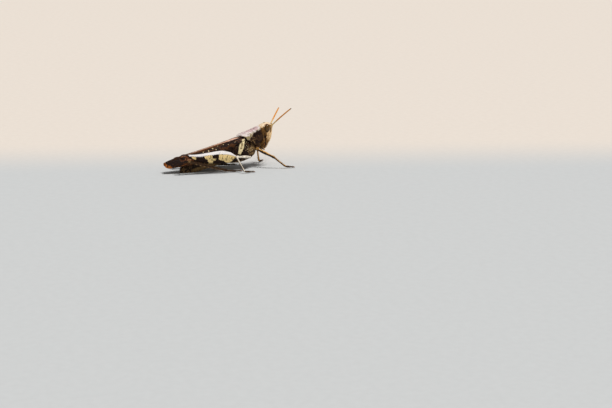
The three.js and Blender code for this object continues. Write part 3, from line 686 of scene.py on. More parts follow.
class Piece:
    """Points, faces and marks of one mesh, in millimetres until it is made."""

    def __init__(self):
        self.points, self.faces, self.marks, self.patches, self.count = [], [], [], [], 0

    def take(self, points, faces, marks=None, patches=None):
        if volume(points, faces) < 0:
            faces = [face_set[:, ::-1] for face_set in faces]
        self.points.append(points)
        self.faces += [face_set + self.count for face_set in faces]
        self.marks.append({k: np.broadcast_to(v, len(points)) for k, v in (marks or {}).items()})
        self.patches.append(np.zeros((len(points), 2)) if patches is None else patches)
        self.count += len(points)

    def rings(self, points, **marks):
        """A closed skin over rings of points, with each end closed by a fan to its middle."""
        flat = np.vstack([points.reshape(-1, 3), points[0].mean(axis=0), points[-1].mean(axis=0)])
        flat_marks = {}
        for name, value in marks.items():
            value = np.broadcast_to(value, points.shape[:2])
            flat_marks[name] = np.append(value.ravel(), [value[0].mean(), value[-1].mean()])
        self.take(flat, tube_faces(*points.shape[:2]), flat_marks)

    def sheet(self, outer, inner, **marks):
        """A thin shell between two like grids of points, closed round its rim."""
        below = outer[..., 0].size
        index = np.arange(below).reshape(outer.shape[:2])
        top = np.stack([index[:-1, :-1], index[:-1, 1:], index[1:, 1:], index[1:, :-1]], -1)
        top = top.reshape(-1, 4)
        rim = np.concatenate([index[0, :-1], index[:-1, -1], index[-1, :0:-1], index[:0:-1, 0]])
        ahead = np.roll(rim, -1)
        sides = np.stack([ahead, rim, rim + below, ahead + below], -1)
        flat_marks = {
            name: np.tile(np.broadcast_to(value, index.shape).ravel(), 2)
            for name, value in marks.items()
        }
        flat = np.vstack([outer.reshape(-1, 3), inner.reshape(-1, 3)])
        self.take(flat, [top, top[:, ::-1] + below, sides], flat_marks)

    def cones(self, roots, aims, lengths, radii, bends=0.0, sides=5, levels=4, patches=None):
        """Many thin spikes, each from its root along its aim and bent towards bends; patches are
        their places on the map that hairs are baked to."""
        count = len(roots)
        aims = unit(aims)
        helper = np.where(np.abs(aims[:, 2:]) > 0.8, [[1.0, 0, 0]], [[0, 0, 1.0]])
        side_a = unit(np.cross(aims, helper))
        side_b = np.cross(aims, side_a)
        t = np.linspace(0, 1, levels)
        width = np.where(t < 1, (1 - t) ** 0.75, 0.06)
        angle = np.linspace(0, 2 * math.pi, sides, endpoint=False)
        lengths, radii = np.broadcast_to(lengths, count), np.broadcast_to(radii, count)
        bends = np.broadcast_to(bends, (count, 3))
        spine = roots[:, None] + lengths[:, None, None] * (
            aims[:, None] * t[None, :, None] + bends[:, None] * (t**2)[None, :, None]
        )
        round_about = (
            side_a[:, None, None] * np.cos(angle)[None, None, :, None]
            + side_b[:, None, None] * np.sin(angle)[None, None, :, None]
        )
        rings = spine[:, :, None] + round_about * (radii[:, None] * width)[:, :, None, None]
        flat = np.concatenate(
            [rings.reshape(count, -1, 3), spine[:, :1], spine[:, -1:]], axis=1
        ).reshape(-1, 3)
        start = (np.arange(count) * (levels * sides + 2))[:, None, None]
        faces = [(one + start).reshape(-1, one.shape[1]) for one in tube_faces(levels, sides)]
        tip = np.tile(np.append(np.repeat(t, sides), [0, 1]), count)
        spread = None
        if patches is not None:
            ring = np.stack([np.cos(angle), np.sin(angle)], -1) * PATCH_RADIUS
            around_root = np.vstack([np.tile(ring, (levels, 1)), [[0, 0], [0, 0]]])
            spread = (patches[:, None] + around_root[None]).reshape(-1, 2)
        self.take(flat, faces, {"tip": tip}, spread)

    def make(self, name, finish, nodes=(), baked=False, rests=False):
        """The mesh as an object; one that rests on the floor is flattened at its level."""
        points = np.concatenate(self.points) * MM
        if rests:
            points[:, 2] = np.maximum(points[:, 2], 0.0)
        corners = np.concatenate([face_set.ravel() for face_set in self.faces])
        totals = np.concatenate([np.full(len(f), f.shape[1]) for f in self.faces])
        mesh = bpy.data.meshes.new(name)
        mesh.vertices.add(len(points))
        mesh.vertices.foreach_set("co", points.astype(np.float32).ravel())
        mesh.loops.add(len(corners))
        mesh.loops.foreach_set("vertex_index", corners.astype(np.int32))
        mesh.polygons.add(len(totals))
        starts = np.concatenate([[0], np.cumsum(totals)[:-1]])
        mesh.polygons.foreach_set("loop_start", starts.astype(np.int32))
        mesh.update(calc_edges=True)
        mesh.polygons.foreach_set("use_smooth", np.ones(len(totals), dtype=bool))
        for mark in sorted({key for marks in self.marks for key in marks}):
            parts = [m.get(mark, np.zeros(len(p))) for m, p in zip(self.marks, self.points)]
            layer = mesh.attributes.new(mark, "FLOAT", "POINT")
            layer.data.foreach_set("value", np.concatenate(parts).astype(np.float32))
        if baked:
            layer = mesh.uv_layers.new(name="OFBake")
            layer.data.foreach_set("uv", np.concatenate(self.patches)[corners].ravel())
        mesh.validate()
        mesh.materials.append(bpy.data.materials[finish])
        piece = bpy.data.objects.new(name, mesh)
        bpy.context.scene.collection.objects.link(piece)
        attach(piece, "root")
        if nodes:
            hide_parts(*nodes)


def one_skin(name, finish, nodes, points, marks):
    """A piece that is a single closed skin over rings of points."""
    piece = Piece()
    piece.rings(points, **marks)
    piece.make(name, finish, nodes)


# ---------------------------------------------------------------- materials
def feed(tree, node, inputs):
    """Sets a node's inputs to values, or links them from other nodes."""
    for key, value in inputs.items():
        if isinstance(value, bpy.types.NodeSocket):
            tree.links.new(value, node.inputs[key])
        else:
            node.inputs[key].default_value = value


def add_node(tree, kind, inputs=None, **settings):
    """Adds a node, with its settings and its inputs as values or as links from other nodes."""
    node = tree.nodes.new(kind)
    for key, value in settings.items():
        setattr(node, key, value)
    feed(tree, node, inputs or {})
    return node


def maths(tree, operation, first, second=0.0):
    """The result of one sum on two numbers."""
    return add_node(tree, "ShaderNodeMath", {0: first, 1: second}, operation=operation).outputs[0]


def blended(tree, share, first, second, how="MIX"):
    """One colour turned into another by a share, or multiplied by it."""
    inputs = {0: share, 6: first, 7: second}
    node = add_node(tree, "ShaderNodeMix", inputs, data_type="RGBA", blend_type=how)
    return node.outputs[2]


def shaded(tree, colour, gain):
    """A colour made lighter or darker by a number."""
    grey = add_node(tree, "ShaderNodeCombineColor", {0: gain, 1: gain, 2: gain}).outputs[0]
    return blended(tree, 1.0, colour, grey, "MULTIPLY")


def mapped(tree, value, low, high, to_low=0.0, to_high=1.0, smooth=False):
    """A value's range stretched to another one."""
    inputs = {0: value, 1: low, 2: high, 3: to_low, 4: to_high}
    kind = "SMOOTHSTEP" if smooth else "LINEAR"
    return add_node(tree, "ShaderNodeMapRange", inputs, interpolation_type=kind).outputs[0]


def object_place(tree):
    """Places on an object in its own frame, in metres."""
    return tree.nodes.new("ShaderNodeTexCoord").outputs["Object"]


def mark_read(tree, mark):
    """The value of one of a mesh's marks."""
    return add_node(tree, "ShaderNodeAttribute", attribute_name=mark).outputs["Fac"]


def clouds(tree, place, scale, detail, roughness=0.5):
    """A soft noise; scale is the number of its lumps in a metre."""
    inputs = {"Vector": place, "Scale": scale, "Detail": detail, "Roughness": roughness}
    return add_node(tree, "ShaderNodeTexNoise", inputs).outputs["Fac"]


def relief(tree, height, strength, depth, invert=False):
    """The normals of a fine relief, depth millimetres deep."""
    inputs = {"Height": height, "Strength": strength, "Distance": depth * MM}
    return add_node(tree, "ShaderNodeBump", inputs, invert=invert).outputs["Normal"]


def new_group(name, inputs, outputs):
    """An empty node group with named inputs and outputs; returns it and its two end nodes."""
    group = bpy.data.node_groups.new(name, "ShaderNodeTree")
    for socket, kind, default in inputs:
        made = group.interface.new_socket(socket, in_out="INPUT", socket_type=kind)
        made.default_value = default
    for socket, kind in outputs:
        group.interface.new_socket(socket, in_out="OUTPUT", socket_type=kind)
    return group, group.nodes.new("NodeGroupInput").outputs, group.nodes.new("NodeGroupOutput")


def new_material(name):
    """A new material, with its tree of nodes and its shader."""
    material = bpy.data.materials.new(name)
    material.use_nodes = True
    return material, material.node_tree, material.node_tree.nodes["Principled BSDF"]


NUMBER, COLOUR = "NodeSocketFloat", "NodeSocketColor"
MARKS = ("Warm", "Pale", "Edge", "Blush", "Dark")  # each is laid over those before it
MARK_FRAY = 2.4  # how far a noise moves the edges of the marks


def frayed_edge_group():
    """A mask whose soft edge is broken up by a noise, as markings on a shell are."""
    inputs = [("Mask", NUMBER, 0.0), ("Noise", NUMBER, 0.5), ("Fray", NUMBER, 1.0),
              ("Soft", NUMBER, 0.2)]
    group, start, end = new_group("Frayed Edge", inputs, [("Mask", NUMBER)])
    other = maths(group, "SUBTRACT", 1.0, start["Mask"])
    edge = maths(group, "MULTIPLY", maths(group, "MULTIPLY", start["Mask"], other), 4.0)
    swing = maths(group, "MULTIPLY", maths(group, "SUBTRACT", start["Noise"], 0.5), start["Fray"])
    moved = maths(group, "ADD", start["Mask"], maths(group, "MULTIPLY", swing, edge))
    low = maths(group, "SUBTRACT", 0.5, start["Soft"])
    high = maths(group, "ADD", 0.5, start["Soft"])
    feed(group, end, {"Mask": mapped(group, moved, low, high, smooth=True)})
    return group


def marked_colour(group, start, noise, fray):
    """The base colour with the colour of each mark laid over it in turn, with frayed edges."""
    colour = start["Base"]
    for mark in MARKS:
        inputs = {"Mask": mark_read(group, mark.lower()), "Noise": noise, "Soft": start["Soft"],
                  "Fray": MARK_FRAY}
        edge = group.nodes.new("ShaderNodeGroup")
        edge.node_tree = fray
        feed(group, edge, inputs)
        colour = blended(group, edge.outputs["Mask"], colour, start[mark])
    return colour


def shell_group(fray):
    """The colours, gloss and fine relief of an insect's shell, laid over by its marks in turn."""
    inputs = [(name, COLOUR, (0.5, 0.4, 0.3, 1)) for name in ("Base",) + MARKS]
    inputs += [("Mottle", NUMBER, 0.3), ("Flecks", NUMBER, 0.1), ("Roughness", NUMBER, 0.45),
               ("Grain", NUMBER, 6500.0), ("Soft", NUMBER, 0.2)]
    outputs = [("Colour", COLOUR), ("Roughness", NUMBER), ("Height", NUMBER)]
    group, start, end = new_group("Insect Shell", inputs, outputs)
    place = object_place(group)
    cloud = clouds(group, place, 1100.0, 5.0, 0.62)
    fine = clouds(group, place, 5200.0, 3.0, 0.6)
    pit_in = {"Vector": place, "Scale": start["Grain"]}
    pit = add_node(group, "ShaderNodeTexVoronoi", pit_in).outputs["Distance"]
    noise = maths(group, "MULTIPLY", maths(group, "ADD", cloud, fine), 0.5)
    colour = marked_colour(group, start, noise, fray)
    shade = mapped(group, noise, 0.34, 0.66, -1.0, 1.0)
    gain = maths(group, "ADD", 1.0, maths(group, "MULTIPLY", shade, start["Mottle"]))
    speck = mapped(group, fine, 0.62, 0.72, smooth=True)
    speck = maths(group, "MULTIPLY", speck, start["Flecks"])
    gloss = mapped(group, noise, 0.3, 0.7, -0.1, 0.1)
    feed(group, end, {
        "Colour": blended(group, speck, shaded(group, colour, gain), start["Pale"]),
        "Roughness": maths(group, "ADD", start["Roughness"], gloss),
        "Height": maths(group, "ADD", maths(group, "MULTIPLY", pit, 0.7), fine),
    })
    return group


def shell_material(name, colours, base, warm, pale, dark="dark", edge=None, blush=None, tip=None,
                   mottle=0.3, flecks=0.0, roughness=0.45, grain=6500.0, depth=0.02, soft=0.2):
    """A finish of the insect's shell; tip is a colour that spikes and hairs end in."""
    _, tree, shader = new_material(name)
    shell = tree.nodes.new("ShaderNodeGroup")
    shell.node_tree = bpy.data.node_groups["Insect Shell"]
    shades = {"Base": base, "Warm": warm, "Pale": pale, "Edge": edge or warm,
              "Blush": blush or pale, "Dark": dark}
    feed(tree, shell, {socket: (*getattr(colours, key), 1) for socket, key in shades.items()})
    feed(tree, shell, {"Mottle": mottle, "Flecks": flecks, "Roughness": roughness,
                       "Grain": grain, "Soft": soft})
    colour = shell.outputs["Colour"]
    if tip is not None:
        end = mapped(tree, mark_read(tree, "tip"), 0.55, 0.8, smooth=True)
        colour = blended(tree, end, colour, (*getattr(colours, tip), 1))
    feed(tree, shader, {
        "Base Color": colour,
        "Roughness": shell.outputs["Roughness"],
        "Normal": relief(tree, shell.outputs["Height"], 0.8, depth),
        "Specular IOR Level": 0.12,
        "Coat Weight": 0.03,
        "Coat Roughness": 0.3,
    })


def eye_material(colours):
    """Glossy dark eyes with faint upright bands and a skin of tiny lenses."""
    _, tree, shader = new_material("Eye Lenses")
    place = object_place(tree)
    cloud = clouds(tree, place, 2600.0, 4.0)
    banded = maths(tree, "MULTIPLY", mark_read(tree, "band"), cloud)
    share = mapped(tree, banded, 0.15, 0.5, 0.0, 0.8)
    lens_in = {"Vector": place, "Scale": 24000.0, "Randomness": 0.35}
    lens = add_node(tree, "ShaderNodeTexVoronoi", lens_in).outputs["Distance"]
    feed(tree, shader, {
        "Base Color": blended(tree, share, (*colours.eye, 1), (*colours.eye_band, 1)),
        "Roughness": mapped(tree, cloud, 0.3, 0.7, 0.16, 0.26),
        "Normal": relief(tree, lens, 0.35, 0.006, invert=True),
        "Specular IOR Level": 0.2,
        "Coat Weight": 0.12,
        "Coat Roughness": 0.08,
    })


def floor_material(studio):
    """A pale matt floor that turns from grey to a warm white behind the locust."""
    material, tree, shader = new_material("Studio Floor")
    place = object_place(tree)
    away = {0: place, 1: behind_locust(studio)}
    behind = add_node(tree, "ShaderNodeVectorMath", away, operation="DOT_PRODUCT")
    share = mapped(tree, behind.outputs["Value"], -4 * MM, 30 * MM, smooth=True)
    out = add_node(tree, "ShaderNodeVectorMath", {0: place}, operation="LENGTH").outputs["Value"]
    share = maths(tree, "MAXIMUM", share, mapped(tree, out, 150 * MM, 500 * MM, smooth=True))
    grain = clouds(tree, place, 700.0, 4.0)
    colour = blended(tree, share, (*studio.floor, 1), (*studio.beyond, 1))
    feed(tree, shader, {
        "Base Color": shaded(tree, colour, mapped(tree, grain, 0.3, 0.7, 0.985, 1.015)),
        "Roughness": mapped(tree, grain, 0, 1, 0.85, 1),
        "Specular IOR Level": 0.1,
    })
    return material


def make_materials(colours):
    """Every finish of the locust, from the table of finishes."""
    shell_group(frayed_edge_group())
    for name, look in FINISHES.items():
        shell_material(name, colours, **look)
    eye_material(colours)


# ---------------------------------------------------------------- the shield and the trunk
def shield_points(share, angle, inset):
    """Points of the saddle at shares of its length, set in from its outer skin."""
    half, top, waist, bottom = through(SHIELD)(share)
    c, s = squared(angle, SHIELD_SQUARE)
    rear = np.where(s > 0, SHIELD_DISC * (1 - np.abs(c)) ** 0.7, -SHIELD_SLANT * np.abs(s))
    up = waist + s * np.where(s > 0, top - inset - waist, waist - bottom - inset)
    return np.stack([(half - inset) * c, share * (SHIELD_SIDE + rear), up], -1)


def build_shield():
    """The pronotum: a saddle with a keel, three cross grooves, pits and thin rolled edges."""
    outer = np.linspace(0, 1, 150)
    rolled, depths = SHIELD_EDGE.T
    share = np.concatenate([rolled, outer, 1 - rolled[::-1]])
    inset = SHIELD_LIP * np.concatenate([depths, np.zeros(len(outer)), depths[::-1]])[:, None]
    share, angle = grid(share, even_angles(SHIELD_SQUARE, 260))
    points = shield_points(share, angle, inset)
    skin = (inset == 0) * np.ones_like(share)
    x, back, up = np.moveaxis(points, -1, 0)
    _, tall = squared(angle, SHIELD_SQUARE)
    girth = np.where(tall > 0, np.abs(x), 1.9 + 1.2 - up)
    from_rear = points[-1 - len(SHIELD_EDGE), :, 1][None] - back
    height = shield_relief(share, tall, x, back, up, girth, from_rear)
    marks = shield_marks(share, x, back, up, girth, from_rear)
    one_skin("pronotum_shell", "Pronotum Horn", ["pronotum"],
             placed(lifted(points, height * skin)), marks)


def shield_relief(share, tall, x, back, up, girth, from_rear):
    """The pronotum's keels, cross grooves, swollen borders and pits."""
    above = ramp(up, 0.9, 1.6)
    height = 0.07 * ridge(x, 0.07) * above
    height += 0.05 * ridge(np.abs(x) - 1.0 - 0.25 * share, 0.1) * ramp(share, 0.5, 0.8) * above
    bow = 0.12 * np.cos(np.clip(girth, 0, 3))
    for place, depth, reach in SULCI:
        groove = ridge(back - place - bow, 0.055) * fall(girth, reach - 0.3, reach)
        height -= depth * groove + 0.06 * ridge(x, 0.09) * above * groove
    height += 0.045 * ridge(back - 0.06, 0.09) + 0.04 * ridge(from_rear - 0.06, 0.09)
    height += 0.05 * ridge(up + 0.55 + 0.2 * share, 0.09) * (tall < 0)
    height -= (0.02 + 0.03 * ramp(back, 1.7, 2.9)) * pits(back / 0.17, girth / 0.17, 3, 0.25)
    height += 0.035 * rough(back / 0.35, girth / 0.35, 5)
    return height + 0.05 * rough(back / 0.9, girth / 0.8, 8)


def shield_marks(share, x, back, up, girth, from_rear):
    """The pinkish back, partly its own paler colour and partly a painted highlight of the top light,
    its grey tan shoulders, and the dark sides with brown in them and painted shadow along their rear
    edge.
    """
    cloud, fine = lumps(back / 0.5, girth / 0.45, 11), lumps(back / 0.22, girth / 0.2, 21)
    border = line_at(back, SHIELD_BORDER) + 0.22 * (cloud - 0.5) + 0.16 * (fine - 0.5)
    # light: the pale back, partly its own colour and partly a painted highlight of the top light.
    light = ramp(up - border, -0.2, 0.2)
    olive = ramp(back, 2.0, 2.5) * fall(up + 0.6 * (cloud - 0.5), 1.8, 2.35)
    olive = np.maximum(olive, 0.8 * fall(up - border, 0.1, 0.35))
    olive = light * np.clip(olive + 0.7 * ramp(fine, 0.5, 0.7) * ramp(cloud, 0.4, 0.6), 0, 1)
    above = ramp(up, 0.9, 1.6)
    dark = 0.5 * ridge(np.abs(x) - 0.3 - 0.1 * share, 0.1) * above * ramp(fine, 0.55, 0.75)
    dark += 0.8 * ramp(fine, 0.45, 0.7) * (1 - light) + 0.55 * light * ramp(fine, 0.72, 0.84)
    dark += 0.7 * within(up - border, -0.7, -0.15, 0.1) * ramp(cloud, 0.3, 0.6)
    dark += 0.3 * within(up, -0.2, 1.1, 0.3) * fall(back, 1.5, 2.2) * ramp(cloud, 0.35, 0.7)
    # Painted shadow along the rear edge of the dark side lobes, where they overhang the wing's root.
    dark += 0.5 * fall(from_rear, 0.1, 0.3) * (1 - light)
    brown = 0.25 + 0.5 * ramp(back, 1.2, 2.4) + 0.1 * ramp(-up, 0, 0.6) - dark
    brown = np.clip(brown + 1.4 * (cloud - 0.5), 0, 0.85) * (1 - light)
    mauve = light * ramp(up + 0.3 * (cloud - 0.5), 2.45, 2.65) * ramp(back, 0.2, 0.6)
    return {"warm": light * 0.98, "pale": olive * 0.9, "edge": brown, "blush": mauve * 0.9,
            "dark": np.clip(dark, 0, 0.85)}


def flank_band(back, up):
    """How far behind the flank's cream band each point is, the band, and the dark spot in it."""
    along = unit(BAND[1] - BAND[0])
    off = (back - BAND[0][0]) * -along[1] + (up - BAND[0][1]) * along[0]
    down = (back - BAND[0][0]) * along[0] + (up - BAND[0][1]) * along[1]
    whole = np.linalg.norm(BAND[1] - BAND[0])
    half = BAND_HALF * (0.72 + 0.42 * arch(down / whole))
    band = fall(np.abs(off), half - 0.06, half + 0.06) * within(down, -0.6, whole, 0.12)
    return off, band, within(off, -0.2, 0.14, 0.06) * within(down, 1.25, 2.55, 0.2)


def build_thorax():
    """The middle and last rings of the thorax, with the seams between their side plates."""
    points, _, _ = trunk_rings(THORAX, THORAX_SQUARE, 210, 240)
    x, back, up = np.moveaxis(points, -1, 0)
    side, under = ramp(np.abs(x), 0.7, 1.4), ramp(-up, 2.5, 3.0)
    off, band, spot = flank_band(back + 0.14 * rough(back / 0.3, up / 0.3, 43), up)
    height = thorax_relief(x, back, up, side, under, off, band, spot)
    marks = thorax_marks(x, back, up, side, under, off, band, spot)
    one_skin("thorax_shell", "Flank Horn", ["mesothorax", "metathorax"],
             placed(lifted(points, height)), marks)


def flank_girth(x, up):
    """Runs up the flank, and across the underside."""
    return np.where(np.abs(x) > 1.2, up, x * 2)


def thorax_relief(x, back, up, side, under, off, band, spot):
    """The flank's seams and swollen plates, the folds of the underside, and pits."""
    height = 0.05 * band * (1 - spot) * side
    for seam, depth in FLANK_SEAMS:
        height -= depth * ridge(off - seam, 0.06) * side * (1 - under)
    for start, breadth, swell in SWOLLEN_PLATES:
        height += swell * arch((off - start) / breadth) * side * (1 - under)
    height -= 0.1 * ridge(up + 2.55, 0.12) * side
    for seam in BELLY_SEAMS:
        height -= 0.08 * ridge(back - seam - 0.3 * np.abs(x), 0.07) * under
    height -= 0.07 * ridge(x, 0.07) * under
    girth = flank_girth(x, up)
    height -= 0.035 * pits(back / 0.2, girth / 0.2, 31, 0.35) * (1 - band)
    return height + 0.06 * rough(back / 0.5, girth / 0.45, 33)


def thorax_marks(x, back, up, side, under, off, band, spot):
    """The cream band with its dark spot, pale flecks, the dark clouds of the flank, and painted
    shadow above the middle thigh.
    """
    girth = flank_girth(x, up)
    cloud, fine = lumps(back / 0.42, girth / 0.4, 35), lumps(back / 0.2, girth / 0.2, 39)
    near, _, pick = cells(back / 0.26, girth / 0.26, 37)
    flecks = (pick > 0.74) * fall(near + 0.45 * (fine - 0.5), 0.16, 0.34)
    flecks *= within(off, -2.9, -0.6, 0.15)
    front = ramp(3.5 - back - 0.5 * up + 0.8 * (cloud - 0.5), -0.3, 0.5) * side
    pale = np.clip(band * side + 0.9 * flecks * side * (1 - under), 0, 1)
    pale += 0.6 * dot(back, up, (7.35, -0.65), (0.2, 0.2))
    warm = np.clip(0.66 * front + 0.6 * under + 0.35 * ramp(cloud, 0.6, 0.85), 0, 0.9)
    dark = 0.85 * ramp(cloud, 0.6, 0.35) * (1 - band) * (1 - under) * (1 - 0.7 * front)
    dark += 0.85 * ramp(fine, 0.48, 0.68) * (1 - flecks) * (1 - 0.2 * front)
    dark += 0.95 * within(off, 0.5, 0.95, 0.1) * side + 0.7 * ridge(off + 0.56, 0.08)
    # Painted shadow on the lower flank, above the middle thigh.
    dark += 0.9 * within(up, -1.9, -1.2, 0.12) * within(back, 4.4, 6.6, 0.3) * side
    dark = dark * (1 - band) + band * (0.3 + 0.5 * spot) * ramp(fine, 0.55, 0.75)
    return {"pale": np.clip(pale, 0, 1), "warm": warm, "dark": np.clip(dark, 0, 0.9),
            "edge": spot * side * ramp(fine, 0.1, 0.45)}


def build_prosternum():
    """The plate between the fore legs, with the blunt spur that hangs from it."""
    points, station, angle = trunk_rings(PROSTERNUM, 2.3, 40, 80)
    piece = Piece()
    piece.rings(placed(lifted(points, 0.06 * rough(station / 0.3, angle / 0.3, 41))), warm=0.5)
    spur = Limb(placed([0, 1.12, -1.4]), placed([0, 1.0, -2.32]), up=(0, 1, 0))
    piece.rings(spur.place(limb_rings(spur, SPUR, 2, 30, 32)[0]), warm=0.8)
    piece.make("prosternum_shell", "Flank Horn", ["prosternum"])


def build_abdomen():
    """Eight overlapping rings, a fold between back and belly plates, an ear and the end plates."""
    points, station, angle = trunk_rings(ABDOMEN, 2.3, 420, 180)
    half, _, waist, _ = through(ABDOMEN)(station)
    x, back, up = np.moveaxis(points, -1, 0)
    side = ramp(np.abs(x) / half, 0.55, 0.85)
    below = waist - up
    belly = ramp(below, 0.3, 0.36)
    place = (back - ABDOMEN_START - 0.12 * belly) / ((RING_END - ABDOMEN_START) / ABDOMEN_RINGS)
    number = np.clip(np.floor(place), -1, ABDOMEN_RINGS)
    in_ring = np.clip(place - number, 0, 1)
    ringed = back < RING_END
    hole = fall(np.hypot((in_ring - 0.3) / 0.055, (below - 0.08) / 0.045), 0.8, 1.5)
    hole = hole * side * ringed * (number >= 0)
    ear = np.hypot((back - 9.05) / 0.34, (up - 0.05) / 0.28)
    ear_dip = fall(ear, 0.75, 1.0) * side
    height = ringed * 0.1 * (in_ring**1.6 - 0.55) - 0.04 * ridge(in_ring - 0.14, 0.1)
    height -= 0.13 * ridge(below - 0.33, 0.075) * side * (back < 18.8)
    height += 0.05 * ridge(x, 0.06) * (up > waist) * ringed
    height += 0.06 * ridge(ear - 1.1, 0.14) * side - 0.12 * ear_dip - 0.05 * hole
    height += 0.03 * rough(back / 0.25, angle / 0.16, 51)
    for seam, depth in END_SEAMS:
        height -= depth * ridge(back - seam, 0.045)
    piece = Piece()
    marks = abdomen_marks(back, angle, below, side, belly, in_ring, hole, ear_dip)
    piece.rings(placed(lifted(points, height)), **marks)
    add_end_plates(piece)
    nodes = [f"abdomen_{n + 1}" for n in range(ABDOMEN_RINGS)] + ["abdomen_tip"]
    piece.make("abdomen_shell", "Belly Horn", nodes, rests=True)


def abdomen_marks(back, angle, below, side, belly, in_ring, hole, ear_dip):
    """Dark front and pale rear borders of the rings, and the freckled end."""
    cloud = lumps(back / 0.5, angle / 0.3, 53)
    fine = lumps(back / 0.16, angle / 0.12, 55)
    dark = ridge(in_ring - 0.1, 0.16) * (1 - belly) * 0.9 + 0.6 * ramp(cloud, 0.55, 0.8)
    dark = dark * (1 - 0.7 * belly) + 0.9 * hole + 0.8 * ear_dip
    pale = 0.75 * belly + 0.8 * ridge(in_ring - 0.9, 0.1) * ramp(fine, 0.4, 0.7) * (1 - belly)
    pale += 0.6 * ridge(below - 0.33, 0.06) * side
    rear = ramp(back, 17.0, 17.8)
    pale = pale * (1 - rear) + 0.9 * rear * ramp(fine, 0.52, 0.66)
    dark += 0.8 * rear * ramp(fine, 0.45, 0.3)
    return {"pale": np.clip(pale, 0, 0.9), "dark": np.clip(dark, 0, 0.9)}


def add_end_plates(piece):
    """The pointed plate over the abdomen's end, and the pair of short feelers beside it."""
    plate = Limb(placed([0, 18.85, 0.2]), placed([0, 19.97, -0.7]))
    flap = limb_rings(plate, END_PLATE, END_SQUARE, 40, 40)[0]
    flap[..., 2] -= 0.05 * ridge(flap[..., 0], 0.08)
    piece.rings(plate.place(flap), dark=0.3)
    for side in (-1, 1):
        start, end = mirrored([0.52, 18.95, -0.38], side), mirrored([0.6, 19.75, -0.3], side)
        cercus = Limb(placed(start), placed(end))
        cone = limb_rings(cercus, CERCUS, 2, 40, 40, spacing=END_SQUARE)[0]
        piece.rings(cercus.place(cone), pale=0.5)


# ---------------------------------------------------------------- the head
def in_eye(points, side):
    """How far each point is from an eye's middle, where 1 is the eye's own surface."""
    x, back, up = np.moveaxis(points - mirrored(EYE_CENTRE, side), -1, 0)
    c, s = math.cos(EYE_TILT), math.sin(EYE_TILT)
    turned = np.stack([x, back * c + up * s, up * c - back * s], -1)
    return np.linalg.norm(turned / EYE_RADII, axis=-1)


def face_point(x, up):
    """The point of the face's front at one place across and up."""
    half, front, middle, _ = through(HEAD)(np.array(up))
    reach = (1 - (abs(x) / half) ** HEAD_SQUARE) ** (1 / HEAD_SQUARE)
    return np.array([x, float(middle - reach * (middle - front)), up])


def build_head():
    """The head capsule, with its face ridge, keels, feeler sockets, furrows and eye rims."""
    up, angle = grid(np.linspace(HEAD[0][0], HEAD[-1][0], 230), even_angles(HEAD_SQUARE, 220))
    half, front, middle, rear = through(HEAD)(up)
    c, s = squared(angle, HEAD_SQUARE)
    back = middle + s * np.where(s > 0, rear - middle, middle - front)
    points = np.stack([half * c, back, up], -1)
    at = head_places(points, middle)
    one_skin("head_shell", "Head Horn", ["head"],
             placed(lifted(points, head_relief(at))), head_marks(at))


def head_places(points, middle):
    """Where each point of the head lies: how far from its keels, furrows, sockets and eyes."""
    x, back, up = np.moveaxis(points, -1, 0)
    wide = np.abs(x)
    out = facings(points)
    ahead = ramp(-out[..., 1], 0.2, 0.65)
    mouth = ridge(up + 1.1 - 0.12 * wide, 0.05) * ahead * (wide < 1.15)
    mouth += 0.7 * ridge(up + 1.42, 0.05) * ahead * (wide < 0.8)
    sockets = [np.linalg.norm(points - mirrored(FEELER_ROOT, side), axis=-1) for side in (1, -1)]
    return SimpleNamespace(
        x=x, back=back, up=up, wide=wide, ahead=ahead, mouth=mouth,
        sideways=ramp(np.abs(out[..., 0]), 0.4, 0.75),
        on_ridge=ahead * within(up, -1.0, 2.5, 0.15),
        from_costa=wide - (0.2 + 0.05 * np.sin(up * 1.4) + 0.07 * ramp(-up, 0.2, 1.0)),
        from_keel=wide - (0.66 + 0.36 * ramp(-up, -1.3, 1.2)),
        socket=np.minimum(*sockets),
        cheek=to_segment(back, up, (-0.65, 1.2), (-0.1, -1.4)),
        jaw=to_segment(back, up, (-0.72, -1.35), (0.75, -1.5)),
        rim=to_segment(back, up, (-0.35, 2.4), (0.05, -0.6)),
        around_eye=np.minimum(in_eye(points, 1), in_eye(points, -1)),
        girth=np.arctan2(x, -(back - middle)) * 1.4,
    )


def head_relief(at):
    """The face's ridge and keels, the feelers' sockets, the eyes' rims, and the furrows."""
    height = at.on_ridge * (0.15 * fall(at.from_costa, -0.04, 0.06))
    height += at.on_ridge * (0.06 * ridge(at.from_costa, 0.05) - 0.09 * ridge(at.x, 0.11))
    keeled = within(at.up, -1.15, 1.35, 0.2) * ramp(at.ahead, 0, 0.3)
    height += 0.14 * ridge(at.from_keel, 0.06) * keeled
    height += 0.07 * ridge(at.socket - 0.31, 0.07) - 0.09 * fall(at.socket, 0.16, 0.28)
    height -= 0.1 * at.mouth
    height -= 0.09 * ridge(at.cheek, 0.07) * at.sideways
    height -= 0.1 * ridge(at.jaw, 0.06) * at.sideways
    height += 0.04 * ridge(at.rim, 0.1) * at.sideways
    height += 0.09 * ridge(at.around_eye - 1.16, 0.1)
    on_top = ramp(at.up, 2.35, 2.7)
    crest = 0.06 * ridge(at.wide - 0.32, 0.07) - 0.06 * ridge(at.x, 0.2)
    height += on_top * crest * ramp(-at.back, 1.6, 2)
    height += 0.03 * on_top * ridge(at.x, 0.04) * ramp(at.back, -1.6, -1.2)
    height -= 0.022 * pits(at.girth / 0.15, at.up / 0.15, 61, 0.3)
    return height + 0.04 * rough(at.girth / 0.3, at.up / 0.35, 63)


